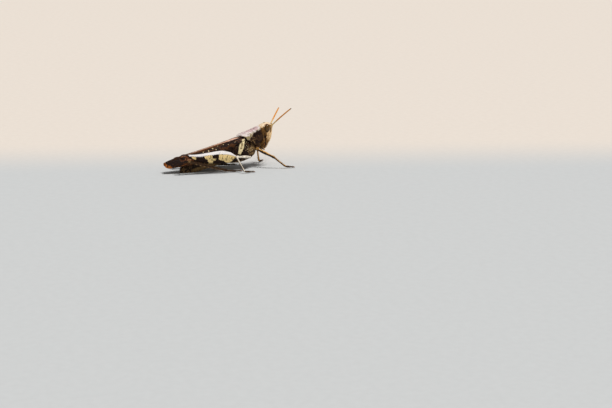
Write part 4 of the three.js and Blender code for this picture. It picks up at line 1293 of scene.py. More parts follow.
def head_marks(at):
    """The tan face, partly a painted highlight of the front light, the cream crown, orange by the eye
    and jaw, and the dark furrows and clouds.
    """
    back, up, wide, sideways = at.back, at.up, at.wide, at.sideways
    cloud, fine = lumps(at.girth / 0.35, up / 0.4, 65), lumps(at.girth / 0.16, up / 0.18, 67)
    streak = lumps(at.girth / 0.3, up / 0.9, 69)
    # front: the tan face, its own pale colour with a painted highlight of the front light.
    front = line_at(up, FACE_BORDER) - back + 0.3 * (cloud - 0.5) + 0.2 * (fine - 0.5)
    front = np.maximum(ramp(front, -0.08, 0.08), at.ahead) * fall(up, 2.0, 2.3)
    raised = ridge(at.from_keel, 0.12) + ridge(at.from_costa, 0.06) * at.on_ridge
    lore = ridge(to_segment(back, up, (-2.1, 1.05), (-2.35, 2.35)), 0.26) * ramp(wide, 0.35, 0.5)
    blot = within(back, -1.2, -0.8, 0.12) * within(up, -1.0, -0.4, 0.12) * ramp(fine, 0.25, 0.5)
    beside = at.on_ridge * ridge(at.from_costa - 0.13, 0.05)
    beside = beside + ridge(at.from_keel - 0.13, 0.06) * at.ahead
    crown = ramp(up + 0.5 * (cloud - 0.5) + 0.3 * (fine - 0.5), 2.1, 2.75)
    pale = front * (1 - 0.65 * ramp(streak, 0.5, 0.75) * (1 - raised)) + 0.4 * raised * front
    pale *= 1 - np.clip(0.8 * beside * ramp(streak, 0.25, 0.5) + at.mouth, 0, 1)
    pale += 0.7 * ridge(at.around_eye - 1.17, 0.07) * ramp(-back, 1.1, 1.5)
    pale += 0.7 * ridge(at.rim, 0.14) * sideways * cloud
    pale = pale * (1 - crown) * (1 - np.clip(1.2 * lore, 0, 1)) * (1 - 0.8 * blot)
    pale += 0.6 * crown * ramp(cloud + 0.4 * ridge(up - 2.45, 0.2), 0.5, 0.75)
    warm = crown * (1 - 0.7 * ridge(at.socket - 0.3, 0.14))
    orange = 0.7 * ridge(to_segment(back, up, (0.0, 0.8), (0.14, -0.5)), 0.12) * sideways
    orange += 0.9 * dot(back, up, (0.05, -1.3), (0.28, 0.2))
    orange += 0.9 * ridge(at.around_eye - 1.14, 0.06) * ramp(-back, 1.0, 1.3) * ramp(up, 2.2, 2.4)
    dark = 0.95 * ridge(at.cheek, 0.13) * sideways * (1 - 0.4 * ramp(up, -0.2, -1.2))
    dark += 0.5 * ridge(at.jaw, 0.07) * sideways * ramp(cloud, 0.2, 0.5)
    dark += 0.5 * ramp(cloud, 0.5, 0.75) * sideways * (1 - front) * (1 - crown)
    dark += 0.6 * at.on_ridge * ridge(at.from_costa - 0.1, 0.05) * ramp(streak, 0.2, 0.5)
    dark += 0.45 * front * ramp(fine, 0.68, 0.85) + 0.4 * crown * ramp(fine, 0.66, 0.85)
    dark += 0.7 * fall(at.socket, 0.2, 0.36) + 0.6 * ramp(-up, 1.7, 2.2) * (1 - front)
    dark += 0.2 * lore * ramp(fine, 0.35, 0.6)
    return {"pale": np.clip(pale, 0, 0.95), "warm": np.clip(warm, 0, 0.95), "edge": orange,
            "dark": np.clip(dark, 0, 0.9)}


def ball(centre, radii, rows=28, sides=36):
    """Rings of a ball in the body's frame, from its lowest point to its highest."""
    tall, angle = grid(np.linspace(-1, 1, rows) * 0.497 * math.pi,
                       np.linspace(0, 2 * math.pi, sides, endpoint=False))
    unit_ball = [np.cos(tall) * np.cos(angle), np.cos(tall) * np.sin(angle), np.sin(tall)]
    return np.stack(unit_ball, -1) * radii + centre


def build_ocelli():
    """The three small simple eyes, like glass beads on the face."""
    piece = Piece()
    for x, up in ((0, 1.32), (-0.5, 2.42), (0.5, 2.42)):
        piece.rings(placed(ball(face_point(x, up) + [0, -0.03, 0], (0.085, 0.07, 0.085))), pale=1.0)
    piece.make("ocelli", "Claw Horn")


def build_eye(word, side):
    """One faceted eye, tilted back, with its faint upright bands."""
    c, s = math.cos(EYE_TILT), math.sin(EYE_TILT)
    x, back, up = np.moveaxis(ball(np.zeros(3), EYE_RADII, 90, 120), -1, 0)
    band = 0.5 + 0.5 * np.cos(back / 0.17 * math.pi + 0.6 * np.sin(up * 2))
    turned = np.stack([x, back * c - up * s, back * s + up * c], -1)
    one_skin(f"eye_lens_{word}", "Eye Lenses", [f"eye_{word}"],
             placed(turned + mirrored(EYE_CENTRE, side)), {"band": band})


def labrum_limb():
    """The length down the middle of the flap over the jaws."""
    return Limb(placed([0, -0.98, -1.35]), placed([0, 0.18, -2.4]), up=(0, -1, 0))


def build_labrum():
    """The two-lobed flap over the jaws, with the narrow plate above it."""
    flap = labrum_limb()
    points, share, _, _ = limb_rings(flap, LABRUM, 2.6, 80, 110)
    x = points[..., 0]
    points[..., 1] -= 0.34 * ridge(x, 0.11) * ramp(share, 0.72, 1.0)
    height = -0.07 * ridge(share - 0.34, 0.04) - 0.05 * ridge(x, 0.06) * ramp(share, 0.35, 0.5)
    height += 0.04 * rough(x / 0.2, share / 0.14, 71)
    marks = {"pale": 0.9 - 0.1 * ramp(share, 0.3, 0.7), "dark": 0.3 * ridge(share - 0.34, 0.05)}
    one_skin("labrum_flap", "Head Horn", ["labrum"], flap.place(lifted(points, height)),
             marks)


def jointed(limb, breaks, thickness, curl, sides=20, waist=0.75):
    """Rings of a chain of short joints along a limb, and each point's share of its length."""
    across = np.array([0, 0.03, 0.12, 0.35, 0.65, 0.88, 0.97, 1.0])
    swell = np.array([waist * 0.8, waist, 0.95, 0.96, 1.0, 1.04, waist + 0.16, waist * 0.8])
    low, high = np.array(breaks[:-1])[:, None], np.array(breaks[1:])[:, None]
    share = (low + (high - low) * across).ravel()
    radius = (through(thickness)(share)[0] * np.tile(swell, len(breaks) - 1))[:, None]
    points = ring_points(even_angles(2, sides)[None], radius, radius, 0.0, -radius, 2,
                         (share * limb.length)[:, None])
    return limb.place(points + curl(share)[:, None]), share[:, None] * np.ones(points.shape[:2])


def build_feeler(word, side, detail):
    """A feeler: two stout base joints and a whip of many short ones."""
    start = placed(mirrored(FEELER_ROOT, side))
    ahead, out, up = FEELERS[word]
    reach = unit([side * out, -ahead, up]) * FEELER_LENGTH
    limb = Limb(start - 0.12 * unit(reach), start + reach)
    radius = detail.feeler / MM / 2
    thickness = [[share, radius * thick] for share, thick in FEELER_THICKNESS]
    breaks = np.concatenate([[0, 0.07, 0.11], np.linspace(0.11, 1, detail.feeler_joints + 1)[1:]])

    def curl(share):
        bow = 0.1 * np.sin(share * math.pi)
        return np.stack([side * bow * 0.4, 0 * share, bow], -1)

    points, share = jointed(limb, breaks, thickness, curl, sides=22, waist=0.86)
    from_joint = np.min(np.abs(share[..., None] - breaks), axis=-1)
    marks = {"dark": 0.36 * ridge(from_joint, 0.005) + 0.6 * ramp(share, 0.9, 1),
             "pale": 0.75 * fall(share, 0.2, 0.45)}
    one_skin(f"feeler_{word}", "Feeler Horn", [f"antenna_{word}"], points, marks)


def palp_limb(kind, side):
    """The length down the middle of one mouth feeler."""
    start, end = PALPS[kind][:2]
    return Limb(placed(mirrored(start, side)), placed(mirrored(end, side)))


def build_palps(word, side):
    """The jointed mouth feelers of one side: a longer pair outside and a shorter one inside."""
    def curl(share):
        bow = np.sin(share * math.pi)
        return np.stack([side * 0.07 * bow, 0 * share, 0.08 * bow], -1)

    for kind, (_, _, breaks, radius) in PALPS.items():
        thickness = [[share, radius * thick] for share, thick in PALP_THICKNESS]
        points, share = jointed(palp_limb(kind, side), breaks, thickness, curl)
        marks = {"pale": 0.95 * ramp(share, 0.05, 0.3), "dark": 0.4 * ridge(share - 0.1, 0.1)}
        one_skin(f"{kind}_palp_joints_{word}", "Head Horn", [f"{kind}_palp_{word}"],
                 points, marks)


# ---------------------------------------------------------------- the wings
def wing_section(share, count, low, high, inset):
    """Evenly spaced points of the folded wing's section, from its inner edge to its lower one."""
    half, top, bottom = (float(v) for v in through(WING)(share))
    angle = np.linspace(low, high, 700)
    c, s = squared(angle, WING_SQUARE)
    x = (half - inset) * s
    up = bottom + (top - inset - bottom) * c
    along = np.concatenate([[0], np.cumsum(np.hypot(np.diff(x), np.diff(up)))])
    even = np.linspace(0, along[-1], count)
    return np.interp(even, along, x), np.interp(even, along, up), along[-1]


def wing_rings(rows, across, inner_edge, inset):
    """A folded wing's grid of points, and each point's share along, share across and girth."""
    shares = 1 - (1 - np.linspace(0, 1, rows)) ** 1.15
    round_off = np.clip((shares - 1 + WING_ROUND) / WING_ROUND, 0, 1)
    reach = np.maximum(1 - round_off**2.6, 0.0004) ** (1 / 2.2)
    points, girth = np.empty((rows, across, 3)), np.empty(rows)
    middle = 0.34 * math.pi
    for n, (share, part) in enumerate(zip(shares, reach)):
        low = middle + (inner_edge - middle) * part
        high = middle + (math.pi / 2 - middle) * part
        x, up, girth[n] = wing_section(share, across, low, high, inset)
        points[n, :, 0], points[n, :, 2] = x, up
        points[n, :, 1] = WING_START + WING_LENGTH * share
    along, over = grid(shares, np.linspace(0, 1, across))
    return points, along, over, girth[:, None] * np.ones_like(over)


def vein_height(along, over, girth):
    """Long veins, the net of cross veins, and the cells that are filled with cream, 0 to 1."""
    long_veins = np.zeros_like(along)
    for n, rows in enumerate(VEINS):
        begin, end = rows[0][0], rows[-1][0]
        path = through(rows)(along)[0]
        shown = ramp(along, begin - 0.01, begin + 0.01) * fall(along, end, end + 0.02)
        width = 0.055 if n in STRONG_VEINS else 0.042
        long_veins = np.maximum(long_veins, shown * ridge((over - path) * girth, width))
    length = along * WING_LENGTH
    far = ramp(along, 0.25, 0.6)
    near, edge_small, pick = cells(length / 0.3, over * girth / 0.19, 81)
    _, edge_large, _ = cells(length / 0.46, over * girth / 0.26, 83)
    net = ridge(edge_small, 0.13) * (1 - far) + ridge(edge_large, 0.1) * far
    return long_veins, net, (pick > 0.72) * fall(near, 0.2, 0.5)


def build_fore_wing(word, side, detail):
    """A fore wing folded over the back; the left one's inner edge laps over the right one's."""
    inner_edge, low, high, rise = WING_LAPS[word]
    points, along, over, girth = wing_rings(400, 104, inner_edge, 0.0)
    inner, *_ = wing_rings(400, 104, inner_edge, detail.wing_skin / MM)
    veins, net, filled = vein_height(along, over, girth)
    height = detail.vein / MM * veins + 0.022 * net * (1 - veins)
    height += 0.05 * rough(along * WING_LENGTH / 1.4, over * girth / 0.5, 85)
    for skin in (points, inner):
        skin[..., 2] += fall(over, low, high) * rise
    lift = facings(points, wrap=False)
    lift = lift * np.where((lift[..., 2:] * (over[..., None] < 0.3)).sum() < 0, -1, 1)
    points = points + lift * height[..., None]
    inner = inner + lift * (0.3 * height)[..., None]
    piece = Piece()
    marks = wing_marks(along, over, girth, veins, net, filled)
    piece.sheet(placed(mirrored(points, side)), placed(mirrored(inner, side)), **marks)
    piece.make(f"fore_wing_{word}", "Wing Leather", [f"wing_{word}"])


def wing_marks(along, over, girth, veins, net, filled):
    """Clouds, dark spots, pale flecks, amber rim with a painted glow of light through the tip, and
    pinkish top edge, partly a painted highlight, of a fore wing.
    """
    length, width = along * WING_LENGTH, over * girth
    cloud = lumps(length / 0.9, width / 0.4, 87)
    fine = lumps(length / 0.3, width / 0.2, 89)
    streak = lumps(length / 1.3, width / 0.16, 93)
    border = line_at(along, WING_TOP) + 0.05 * (fine - 0.5) + 0.04 * (streak - 0.5)
    # top: the pinkish top edge, partly its own colour and partly a painted highlight.
    top = fall(over, border - 0.025, border + 0.025)
    front, side = fall(along, 0.25, 0.36), ramp(over, 0.24, 0.3)
    spots = ramp(lumps(length / 0.7, width / 0.4, 91), 0.55, 0.68) * within(over, 0.42, 0.62, 0.05)
    spots *= within(along, 0.1, 0.88, 0.06)
    brown = within(over, 0.5, 0.85, 0.06) * within(along, 0.1, 0.33, 0.05)
    dark = spots + side * (0.8 * ramp(cloud, 0.45, 0.62) + 0.6 * ramp(fine, 0.5, 0.68))
    dark += 0.6 * ramp(streak, 0.5, 0.7) * ramp(along, 0.3, 0.45) * (1 - top)
    dark += 0.85 * within(over, 0.31, 0.46, 0.03) * front * ramp(streak, 0.2, 0.4)
    dark += 0.3 * net * side + 0.3 * veins * side
    lit = 0.7 * brown * ramp(streak, 0.4, 0.6)
    flecks = np.zeros_like(along)
    for place, height, tall in WING_FLECKS:
        away = ((length - place * WING_LENGTH) / 0.18) ** 2 + ((over - height) / tall) ** 2
        flecks = np.maximum(flecks, 1.6 * np.exp(-away * (0.5 + 2 * fine)))
    flecks *= 0.5 + 0.5 * filled
    corner = ramp(over, 0.78, 0.84) * fall(along, 0.03, 0.055)
    tip = ramp(along, 0.74, 0.84)
    rim = 0.95 * ramp(along + 0.04 * ramp(over, 0.4, 0.75), 0.965, 0.99)
    # low: amber along the lower edge, strongest at the tip, partly its own colour and partly a
    # painted glow of light through the thin wing.
    low = ramp(over, 0.74, 0.9) * (0.5 + fine)
    rim += low * (0.2 * within(along, 0.3, 0.8, 0.1) + 0.6 * ramp(along, 0.86, 0.94))
    rim += 0.6 * ridge(over - 0.115, 0.02) * within(along, 0.24, 0.8, 0.04) * ramp(streak, 0.25, 0.5)
    rim += 0.5 * veins * side * ramp(along, 0.4, 0.7) + 0.4 * lit * ramp(fine, 0.5, 0.7)
    dark += 0.55 * tip * fall(over, 0.7, 0.85)
    dark = dark * (1 - flecks) * (1 - 0.7 * np.clip(rim, 0, 1)) * (1 - 0.6 * lit) * (1 - corner)
    return {
        "warm": np.clip(top, 0, 0.95),
        "pale": np.clip(0.95 * flecks + corner, 0, 1),
        "edge": np.clip(rim, 0, 0.95),
        "dark": np.clip(dark, 0, 0.92),
    }


def build_hind_wing(word, side):
    """A hind wing: a thin film folded in pleats under the fore wing."""
    points, along, over, _ = wing_rings(260, 72, 0.02, 0.36)
    folds = over * PLEATS
    lift = facings(points, wrap=False)
    points = points - lift * (0.085 * np.abs(folds % 2 - 1) * ramp(along, 0.1, 0.3))[..., None]
    shown = np.ix_((along[:, 0] > 0.2) & (along[:, 0] < 0.975), over[0] < 0.62)
    points, lift, along, folds = points[shown], lift[shown], along[shown], folds[shown]
    veins = ridge(folds % 1, 0.1) + ridge(folds % 1 - 1, 0.1)
    cross = ridge(((along * WING_LENGTH / 0.45) % 1) - 0.5, 0.12) * 0.6
    outer = points + lift * (0.012 + 0.02 * veins + 0.008 * cross)[..., None]
    inner = points - lift * 0.012
    piece = Piece()
    piece.sheet(placed(mirrored(outer, side)), placed(mirrored(inner, side)),
                dark=np.clip(0.7 * veins + 0.4 * cross, 0, 0.8))
    piece.make(f"hind_wing_{word}", "Hind Wing Film", [f"hindwing_{word}"])


# ---------------------------------------------------------------- the legs
def limb_rings(limb, rows, squareness, stations, sides, spacing=None):
    """A limb's grid in its own frame: points, share along, height from -1 to 1, outward side.
    Its points are spaced evenly for its own squareness, or for spacing where that is given."""
    share, angle = grid(np.linspace(rows[0][0], rows[-1][0], stations),
                        even_angles(spacing or squareness, sides))
    half, above, below = through(rows)(share)
    points = ring_points(angle, half, above, 0 * half, -below, squareness, share * limb.length)
    c, s = squared(angle, squareness)
    return points, share, s, c * limb.outward


def leg_limbs(name):
    """The four straight lengths of one leg, from the trunk out to the toes."""
    pair, word = name.split("_")
    side = SIDES[word]
    x, back, up = HIPS[pair]
    root = [x * 0.55, back - 0.1, up + (0 if pair == "hind" else HIP_RISE)]
    root, hip = placed(mirrored(root, side)), placed(mirrored(HIPS[pair], side))
    knee, ankle, toe = (leg_place(point, side) for point in LEGS[name])
    hinge = knee - [0, 0, KNEE_DROP if pair == "hind" else 0]
    return {
        "coxa": Limb(root, hip, up=(0, 1, 0), side=side),
        "femur": Limb(hip, knee, side=side),
        "tibia": Limb(hinge, ankle, side=side),
        "tarsus": Limb(ankle, toe, side=side),
    }


def build_hip(name):
    """The hip joint, with the ring-shaped joint that the thigh turns on."""
    limb = leg_limbs(name)["coxa"]
    points, share, tall, outer = limb_rings(limb, HIP, 2.2, 70, 60)
    height = 0.05 * rough(share / 0.16, tall / 0.4 + outer, 101) - 0.05 * ridge(share - 0.62, 0.03)
    gold = 0.8 * ramp(share, 0.66, 0.8) * name.startswith("fore")
    marks = {"edge": gold * ramp(outer, -0.2, 0.4),
             "dark": 0.7 * ridge(share - 0.86, 0.06) + 0.3 * ramp(-tall, 0.2, 0.8)}
    one_skin(f"hip_{name}", "Leg Horn", [f"coxa_{name}"],
             limb.place(lifted(points, height)), marks)


def knee_neck(v):
    """The share of a hind thigh's length at which its knee begins; v runs from the top edge down."""
    return 0.935 - 0.17 * np.clip(v, 0, 0.5)


def khaki_patches(u, v, fine, outer):
    """The white top, partly a painted highlight, and the khaki patches of a hind thigh's face; v runs
    from its top edge down.
    """
    u, v = u + 0.016 * (fine - 0.5), v + 0.1 * (fine - 0.5)
    border = line_at(u, WHITE_BORDER) + 0.05 * (fine - 0.5)
    # white: the pale upper half, partly its own colour and partly a painted highlight.
    white = fall(v, border - 0.05, border + 0.05) * fall(u - knee_neck(v), -0.03, -0.01)
    floor = line_at(u, FIRST_PATCH)
    first = within(u, 0.03, 0.35, 0.01) * fall(v, floor - 0.05, floor + 0.05)
    second = ramp(u - line_at(v, HIPWARD_EDGE), -0.008, 0.008)
    second = second * fall(u - line_at(v, KNEEWARD_EDGE), -0.01, 0.01)
    third = within(u, 0.775, 0.85, 0.01) * within(v + 4 * (u - 0.81), 0.1, 0.62, 0.05)
    khaki = np.maximum.reduce([first * (0.85 + 0.2 * fine), second, third]) * (0.9 + 0.25 * fine)
    khaki = np.where(outer > -0.05, khaki, 0.55 * khaki) * (1 - white)
    return np.clip(khaki, 0, 1), white


def build_hind_thigh(name, detail):
    """A hind thigh: keeled edges, slanted ridges on its face, and the lobes of the knee."""
    limb = leg_limbs(name)["femur"]
    points, u, tall, outer = limb_rings(limb, HIND_THIGH, 1.75, 360, 150)
    out = ramp(np.abs(outer), 0.15, 0.4)
    from_middle = np.abs(tall - 0.02)
    face = fall(from_middle, 0.5, 0.6) * out * within(u, 0.08, 0.84, 0.03)
    spacing = 0.86 * limb.length / detail.chevrons
    phase = u * limb.length - 0.75 * from_middle
    chevron = (0.5 + 0.5 * np.cos(2 * math.pi * phase / spacing)) ** 2
    from_lobe = np.hypot((u - 0.985) * limb.length, (tall + 0.32) * 0.8)
    body = within(u, 0.07, 0.88, 0.03)
    keels = ridge(tall - 0.64, 0.06) + ridge(tall + 0.6, 0.06)
    height = 0.07 * keels * out * body + 0.05 * ridge(np.abs(tall) - 1, 0.03) * body
    height += (0.09 * chevron + 0.03 * ridge(from_middle, 0.05) - 0.045) * face
    lobes = 0.06 * ridge(from_lobe - 0.62, 0.07) - 0.05 * ridge(from_lobe - 0.46, 0.06)
    height += out * ramp(u, 0.885, 0.93) * lobes - 0.05 * ridge(u - 0.9, 0.006) * out
    height += 0.02 * rough(u * 60, tall * 4 + outer * 3, 111)
    marks = hind_thigh_marks(u, tall, outer, out, from_lobe, (1 - chevron) * face)
    one_skin(f"thigh_{name}", "Thigh Horn", [f"femur_{name}"],
             limb.place(lifted(points, height)), marks)


def hind_thigh_marks(u, tall, outer, out, from_lobe, hollows):
    """The white top, partly a painted highlight, the khaki and dark patches with painted shade in the
    grooves between the slanted ridges, and the brown knee with its pinkish lobes.
    """
    v = (1 - tall) / 2
    fine, cloud = lumps(u * 60, tall * 3, 113), lumps(u * 22, tall * 2, 115)
    khaki, white = khaki_patches(u, v, fine, outer)
    neck = u - knee_neck(v)
    knee = np.maximum(ramp(neck, 0, 0.02), within(u, 0.8, 0.9, 0.02) * ramp(v, 0.45, 0.6) * 0.8)
    collar = within(neck, -0.004, 0.036, 0.012) * fall(v, 0.45, 0.6)
    dark = 1.1 * collar + out * ramp(u, 0.93, 0.96) * (
        0.5 * ridge(from_lobe - 0.5, 0.07) + 0.5 * within(v, 0.3, 0.58, 0.08) * ramp(u, 0.975, 0.995)
        + 0.95 * fall(v, 0.1, 0.2) + 0.45 * ramp(cloud, 0.5, 0.75)
    )
    # Painted shade in the grooves between the slanted ridges of the face.
    dark += 0.3 * hollows * ramp(v, 0.3, 0.4) + 0.42 * khaki * ramp(fine, 0.6, 0.8)
    dark += 0.5 * khaki * ramp(0.12 - u, 0, 0.1) + 0.4 * white * ramp(cloud, 0.8, 0.92)
    blush = 1.3 * ridge(u - 0.9, 0.035) * within(v, 0.58, 0.92, 0.06) + 0.6 * ridge(u - 0.97, 0.014)
    blush = blush + 0.7 * ridge(u - 1.03, 0.02) * fall(v, 0.2, 0.3)
    return {"pale": khaki, "warm": white, "edge": knee * 0.95, "dark": np.clip(dark, 0, 0.9),
            "blush": np.clip(blush * out * (0.5 + fine), 0, 0.9)}


def build_thigh(name):
    """A fore or middle thigh, pale above and dark below, with fine keels."""
    limb = leg_limbs(name)["femur"]
    points, u, tall, outer = limb_rings(limb, THIGH, 2.2, 120, 48)
    keels = ridge(np.abs(tall) - 0.62, 0.1) * within(u, 0.14, 0.92, 0.04)
    height = 0.025 * keels + 0.03 * rough(u * 14, tall * 2 + outer * 2, 121)
    height -= 0.04 * ridge(u - 0.095, 0.012) + 0.03 * ridge(u - 0.94, 0.01)
    cloud, fine = lumps(u * 9, tall * 1.5, 123), lumps(u * 26, tall * 3 + outer * 2, 125)
    if name.startswith("mid"):
        above = ramp(tall + 0.4 * (cloud - 0.5), -0.7, -0.4)
        marks = {"pale": above * (1 - 0.5 * ramp(fine, 0.62, 0.8)), "edge": 0,
                 "dark": (1 - above) * 0.9 + 0.4 * ramp(fine, 0.74, 0.86)}
    else:
        spots = ramp(0.5 * np.cos(u * 28) + 0.5 * (fine - 0.5) - tall, -0.1, 0.4)
        marks = {"pale": 0, "edge": 0.75 * ramp(tall + 0.5 * (fine - 0.5), 0.4, 0.8),
                 "dark": 0.85 * spots + 0.5 * ridge(u - 0.97, 0.04)}
    marks |= {"dark": np.clip(marks["dark"], 0, 0.9), "warm": 0.4 * ramp(fine, 0.5, 0.8)}
    one_skin(f"thigh_{name}", "Leg Horn", [f"femur_{name}"],
             limb.place(lifted(points, height)), marks)


def shin_marks(name, u, tall, outer):
    """The colours of a shin: dark on a hind one, partly painted shade, ivory above on a middle,
    golden on a fore one, partly painted light on its inner side.
    """
    cloud, fine = lumps(u * 8, tall, 133), lumps(u * 30, tall * 3 + outer * 2, 135)
    if name.startswith("hind"):
        return {"pale": 0.7 * ridge(u - 0.13, 0.035), "warm": 0.5 * ramp(fine, 0.4, 0.8),
                "dark": 0.6 * ridge(u - 0.05, 0.05) + 0.5 * ramp(u, 0.85, 0.97)}
    if name.startswith("mid"):
        above = ramp(tall + 0.3 * outer + 0.5 * (cloud - 0.5) - 0.85 * ramp(u, 0.35, 0.6), -0.3, 0)
        return {"pale": above, "dark": 0.9 * (1 - above)}
    # inner: the golden inner side of a fore shin, partly painted light.
    inner = ramp(-outer + 0.3 * (fine - 0.5), -0.2, 0.1)
    dark = 0.8 * ramp(cloud, 0.4, 0.6) * ramp(0.3 - tall, 0, 0.5)
    return {"edge": np.maximum(0.9 * inner, 0.7 * ramp(tall + fine - 0.5, 0.2, 0.7)),
            "dark": dark * (1 - inner) + 0.3 * ramp(u, 0.9, 1)}


def leg_finish(name):
    """The dark finish of a hind shin and foot, its own dark brown deepened as painted shade, or the
    brown one of the others.
    """
    return "Shin Horn" if name.startswith("hind") else "Leg Horn"


def build_shin(name):
    """A shin: nearly straight, with a ring-shaped groove below the knee."""
    limb = leg_limbs(name)["tibia"]
    rows, bow = (HIND_SHIN, SHIN_BOW) if name.startswith("hind") else (SHIN, -SHIN_BOW)
    points, u, tall, outer = limb_rings(limb, rows, 2.2, 150, 40)
    points[..., 2] += bow * arch(u)
    height = 0.02 * rough(u * 20, tall * 2 + outer * 2, 131) - 0.04 * ridge(u - 0.075, 0.012)
    one_skin(f"shin_{name}", leg_finish(name), [f"tibia_{name}"],
             limb.place(lifted(points, height)), shin_marks(name, u, tall, outer))


def build_spines(name, detail):
    """Spines, darkened from ivory to straw brown as painted shade, with dark tips: two rows behind a
    hind shin or under a smaller one, and spurs.
    """
    limb = leg_limbs(name)["tibia"]
    hind = name.startswith("hind")
    size, thick, drop, spread, low, high, depth = HIND_SPINES if hind else SMALL_SPINES
    count = detail.spines if hind else 5
    roots, aims, lengths = [], [], []
    for row in (-1, 1):
        for n, share in enumerate(np.linspace(low, high, count)):
            share -= SPINE_STAGGER * (row > 0)
            roots.append([0.12 * row, share * limb.length, -depth])
            aims.append([row * math.cos(drop) * math.sin(spread), math.cos(drop) * math.cos(spread),
                         -math.sin(drop)])
            lengths.append(size * (0.8 + 0.2 * math.sin(math.pi * (n + 0.5) / count)))
        for out, down in SPURS:
            roots.append([0.14 * row, limb.length * 0.975, -0.05])
            aims.append([row * out, 0.9, down if hind else -0.6])
            lengths.append(size * 0.8)
    piece = Piece()
    piece.cones(limb.place(roots), limb.turn(aims), np.array(lengths), thick,
                bends=limb.turn([[0, 0, 0.12]]), sides=10, levels=9)
    piece.make(f"spines_{name}", "Spine Ivory", rests=True)


def build_foot(name):
    """A foot of three joints with soft pads under them, and the pad between its claws."""
    limb = leg_limbs(name)["tarsus"]
    piece = Piece()
    for n, (low, high, half, above, below) in enumerate(FOOT_JOINTS):
        rows = [
            [low + (high - low) * t, half * a, above * b, below * c]
            for t, a, b, c in FOOT_JOINT_SHAPE
        ]
        points, u, tall, outer = limb_rings(limb, rows, 2.1, 46, 36)
        t = (u - low) / (high - low)
        pads = 0.07 * (np.abs(np.sin(t * math.pi * (3 if n == 0 else 1)))) * ramp(-tall, 0.2, 0.7)
        points[..., 2] -= pads * (n < 2)
        fine = lumps(u * 20, tall * 3 + outer * 2, 141)
        piece.rings(limb.place(points), pale=0.3 * ramp(tall, 0, 0.6) + 0.5 * (pads > 0.02),
                    dark=0.5 * ramp(fine, 0.5, 0.8) + 0.4 * ramp(t, 0.85, 1), warm=0.2)
    piece.rings(limb.place(limb_rings(limb, CLAW_PAD, 2, 20, 24)[0]), dark=0.7)
    piece.make(f"foot_{name}", leg_finish(name), [f"tarsus_{name}"], rests=True)


def build_claws(name):
    """The two claws at a foot's end."""
    limb = leg_limbs(name)["tarsus"]
    roots = [[0.07 * row, limb.length * 0.92, 0.03] for row in (-1, 1)]
    aims = [[0.55 * row, 1, 0.25] for row in (-1, 1)]
    claws = Piece()
    claws.cones(limb.place(roots), limb.turn(aims), 0.42, 0.06,
                bends=limb.turn([[0, 0, -0.55]]), sides=10, levels=10)
    claws.make(f"claws_{name}", "Claw Horn", rests=True)


# ---------------------------------------------------------------- fine hairs
def strew_hairs(piece, limb, rows, count, seed, length, lean, high=0.97, below=False):
    """Hairs strewn over a limb or under it, leaning to its far end."""
    draw = np.random.default_rng(seed)
    share = draw.uniform(0.04, high, count)
    angle = draw.uniform(math.pi if below else 0, 2 * math.pi, count)
    half, above, under = through(rows)(share)
    tall = np.where(np.sin(angle) > 0, above, under)
    out = np.stack([np.cos(angle), 0 * angle, np.sin(angle)], -1)
    roots = np.stack([half * HAIR_ROOT * np.cos(angle), share * limb.length,
                      tall * HAIR_ROOT * np.sin(angle)], -1)
    aims = out + np.array([0, lean, 0]) + draw.normal(0, 0.18, (count, 3))
    lengths = length * draw.uniform(0.6, 1.25, count)
    patches = np.stack([angle / (2 * math.pi) * 0.9 + 0.05, share * 0.9 + 0.05], -1)
    piece.cones(limb.place(roots), limb.turn(aims), lengths, HAIR_RADIUS,
                bends=limb.turn([[0, 0.25, -0.1]]), sides=4, levels=4, patches=patches)


def build_leg_hairs(name, detail, seed):
    """The hairs of one leg's thigh, shin and foot."""
    limbs = leg_limbs(name)
    count = detail.hairs
    piece = Piece()
    if name.startswith("hind"):
        strew_hairs(piece, limbs["femur"], HIND_THIGH, count, seed, 0.16, 1.1, high=0.9)
        strew_hairs(piece, limbs["tibia"], HIND_SHIN, count * 2, seed + 1, 0.32, 0.9)
    else:
        strew_hairs(piece, limbs["femur"], THIGH, count // 2, seed, 0.16, 1.1, high=0.9)
        strew_hairs(piece, limbs["tibia"], SHIN, count, seed + 1, 0.22, 0.9)
    strew_hairs(piece, limbs["tarsus"], HAIRY_FOOT, count // 2, seed + 2, 0.16, 0.8)
    piece.make(f"hairs_{name}", "Fine Hair", baked=True, rests=True)


def build_body_hairs(detail):
    """Short hairs under the thorax and abdomen, round the mouth and on the palps."""
    count = detail.hairs
    piece = Piece()
    chest = Limb(placed([0, 2.6, -1.0]), placed([0, 8.4, -0.8]))
    strew_hairs(piece, chest, HAIRY_CHEST, count * 2, 201, 0.2, 0.8, below=True)
    belly = Limb(placed([0, 9.0, -0.8]), placed([0, 19.4, -1.3]))
    strew_hairs(piece, belly, HAIRY_BELLY, count * 3, 203, 0.15, 1.3, below=True)
    strew_hairs(piece, labrum_limb(), HAIRY_LABRUM, count // 2, 205, 0.16, 1.0)
    for seed, side in enumerate(SIDES.values(), start=207):
        strew_hairs(piece, palp_limb("maxillary", side), HAIRY_PALP, count // 4, seed, 0.1, 0.8)
    piece.make("hairs_body", "Fine Hair", baked=True, rests=True)


# ---------------------------------------------------------------- the studio
def behind_locust(studio):
    """The level way from the camera to the locust and on."""
    return Vector((-math.sin(studio.azimuth), math.cos(studio.azimuth), 0))


def build_floor(studio):
    """The level floor that the locust rests on."""
    mesh = bpy.data.meshes.new("studio_floor")
    corners = ((-1, -1), (1, -1), (1, 1), (-1, 1))
    corners = [(x * FLOOR_REACH, y * FLOOR_REACH, 0) for x, y in corners]
    mesh.from_pydata(corners, [], [(0, 1, 2, 3)])
    mesh.materials.append(floor_material(studio))
    ground = bpy.data.objects.new("studio_floor", mesh)
    bpy.context.scene.collection.objects.link(ground)


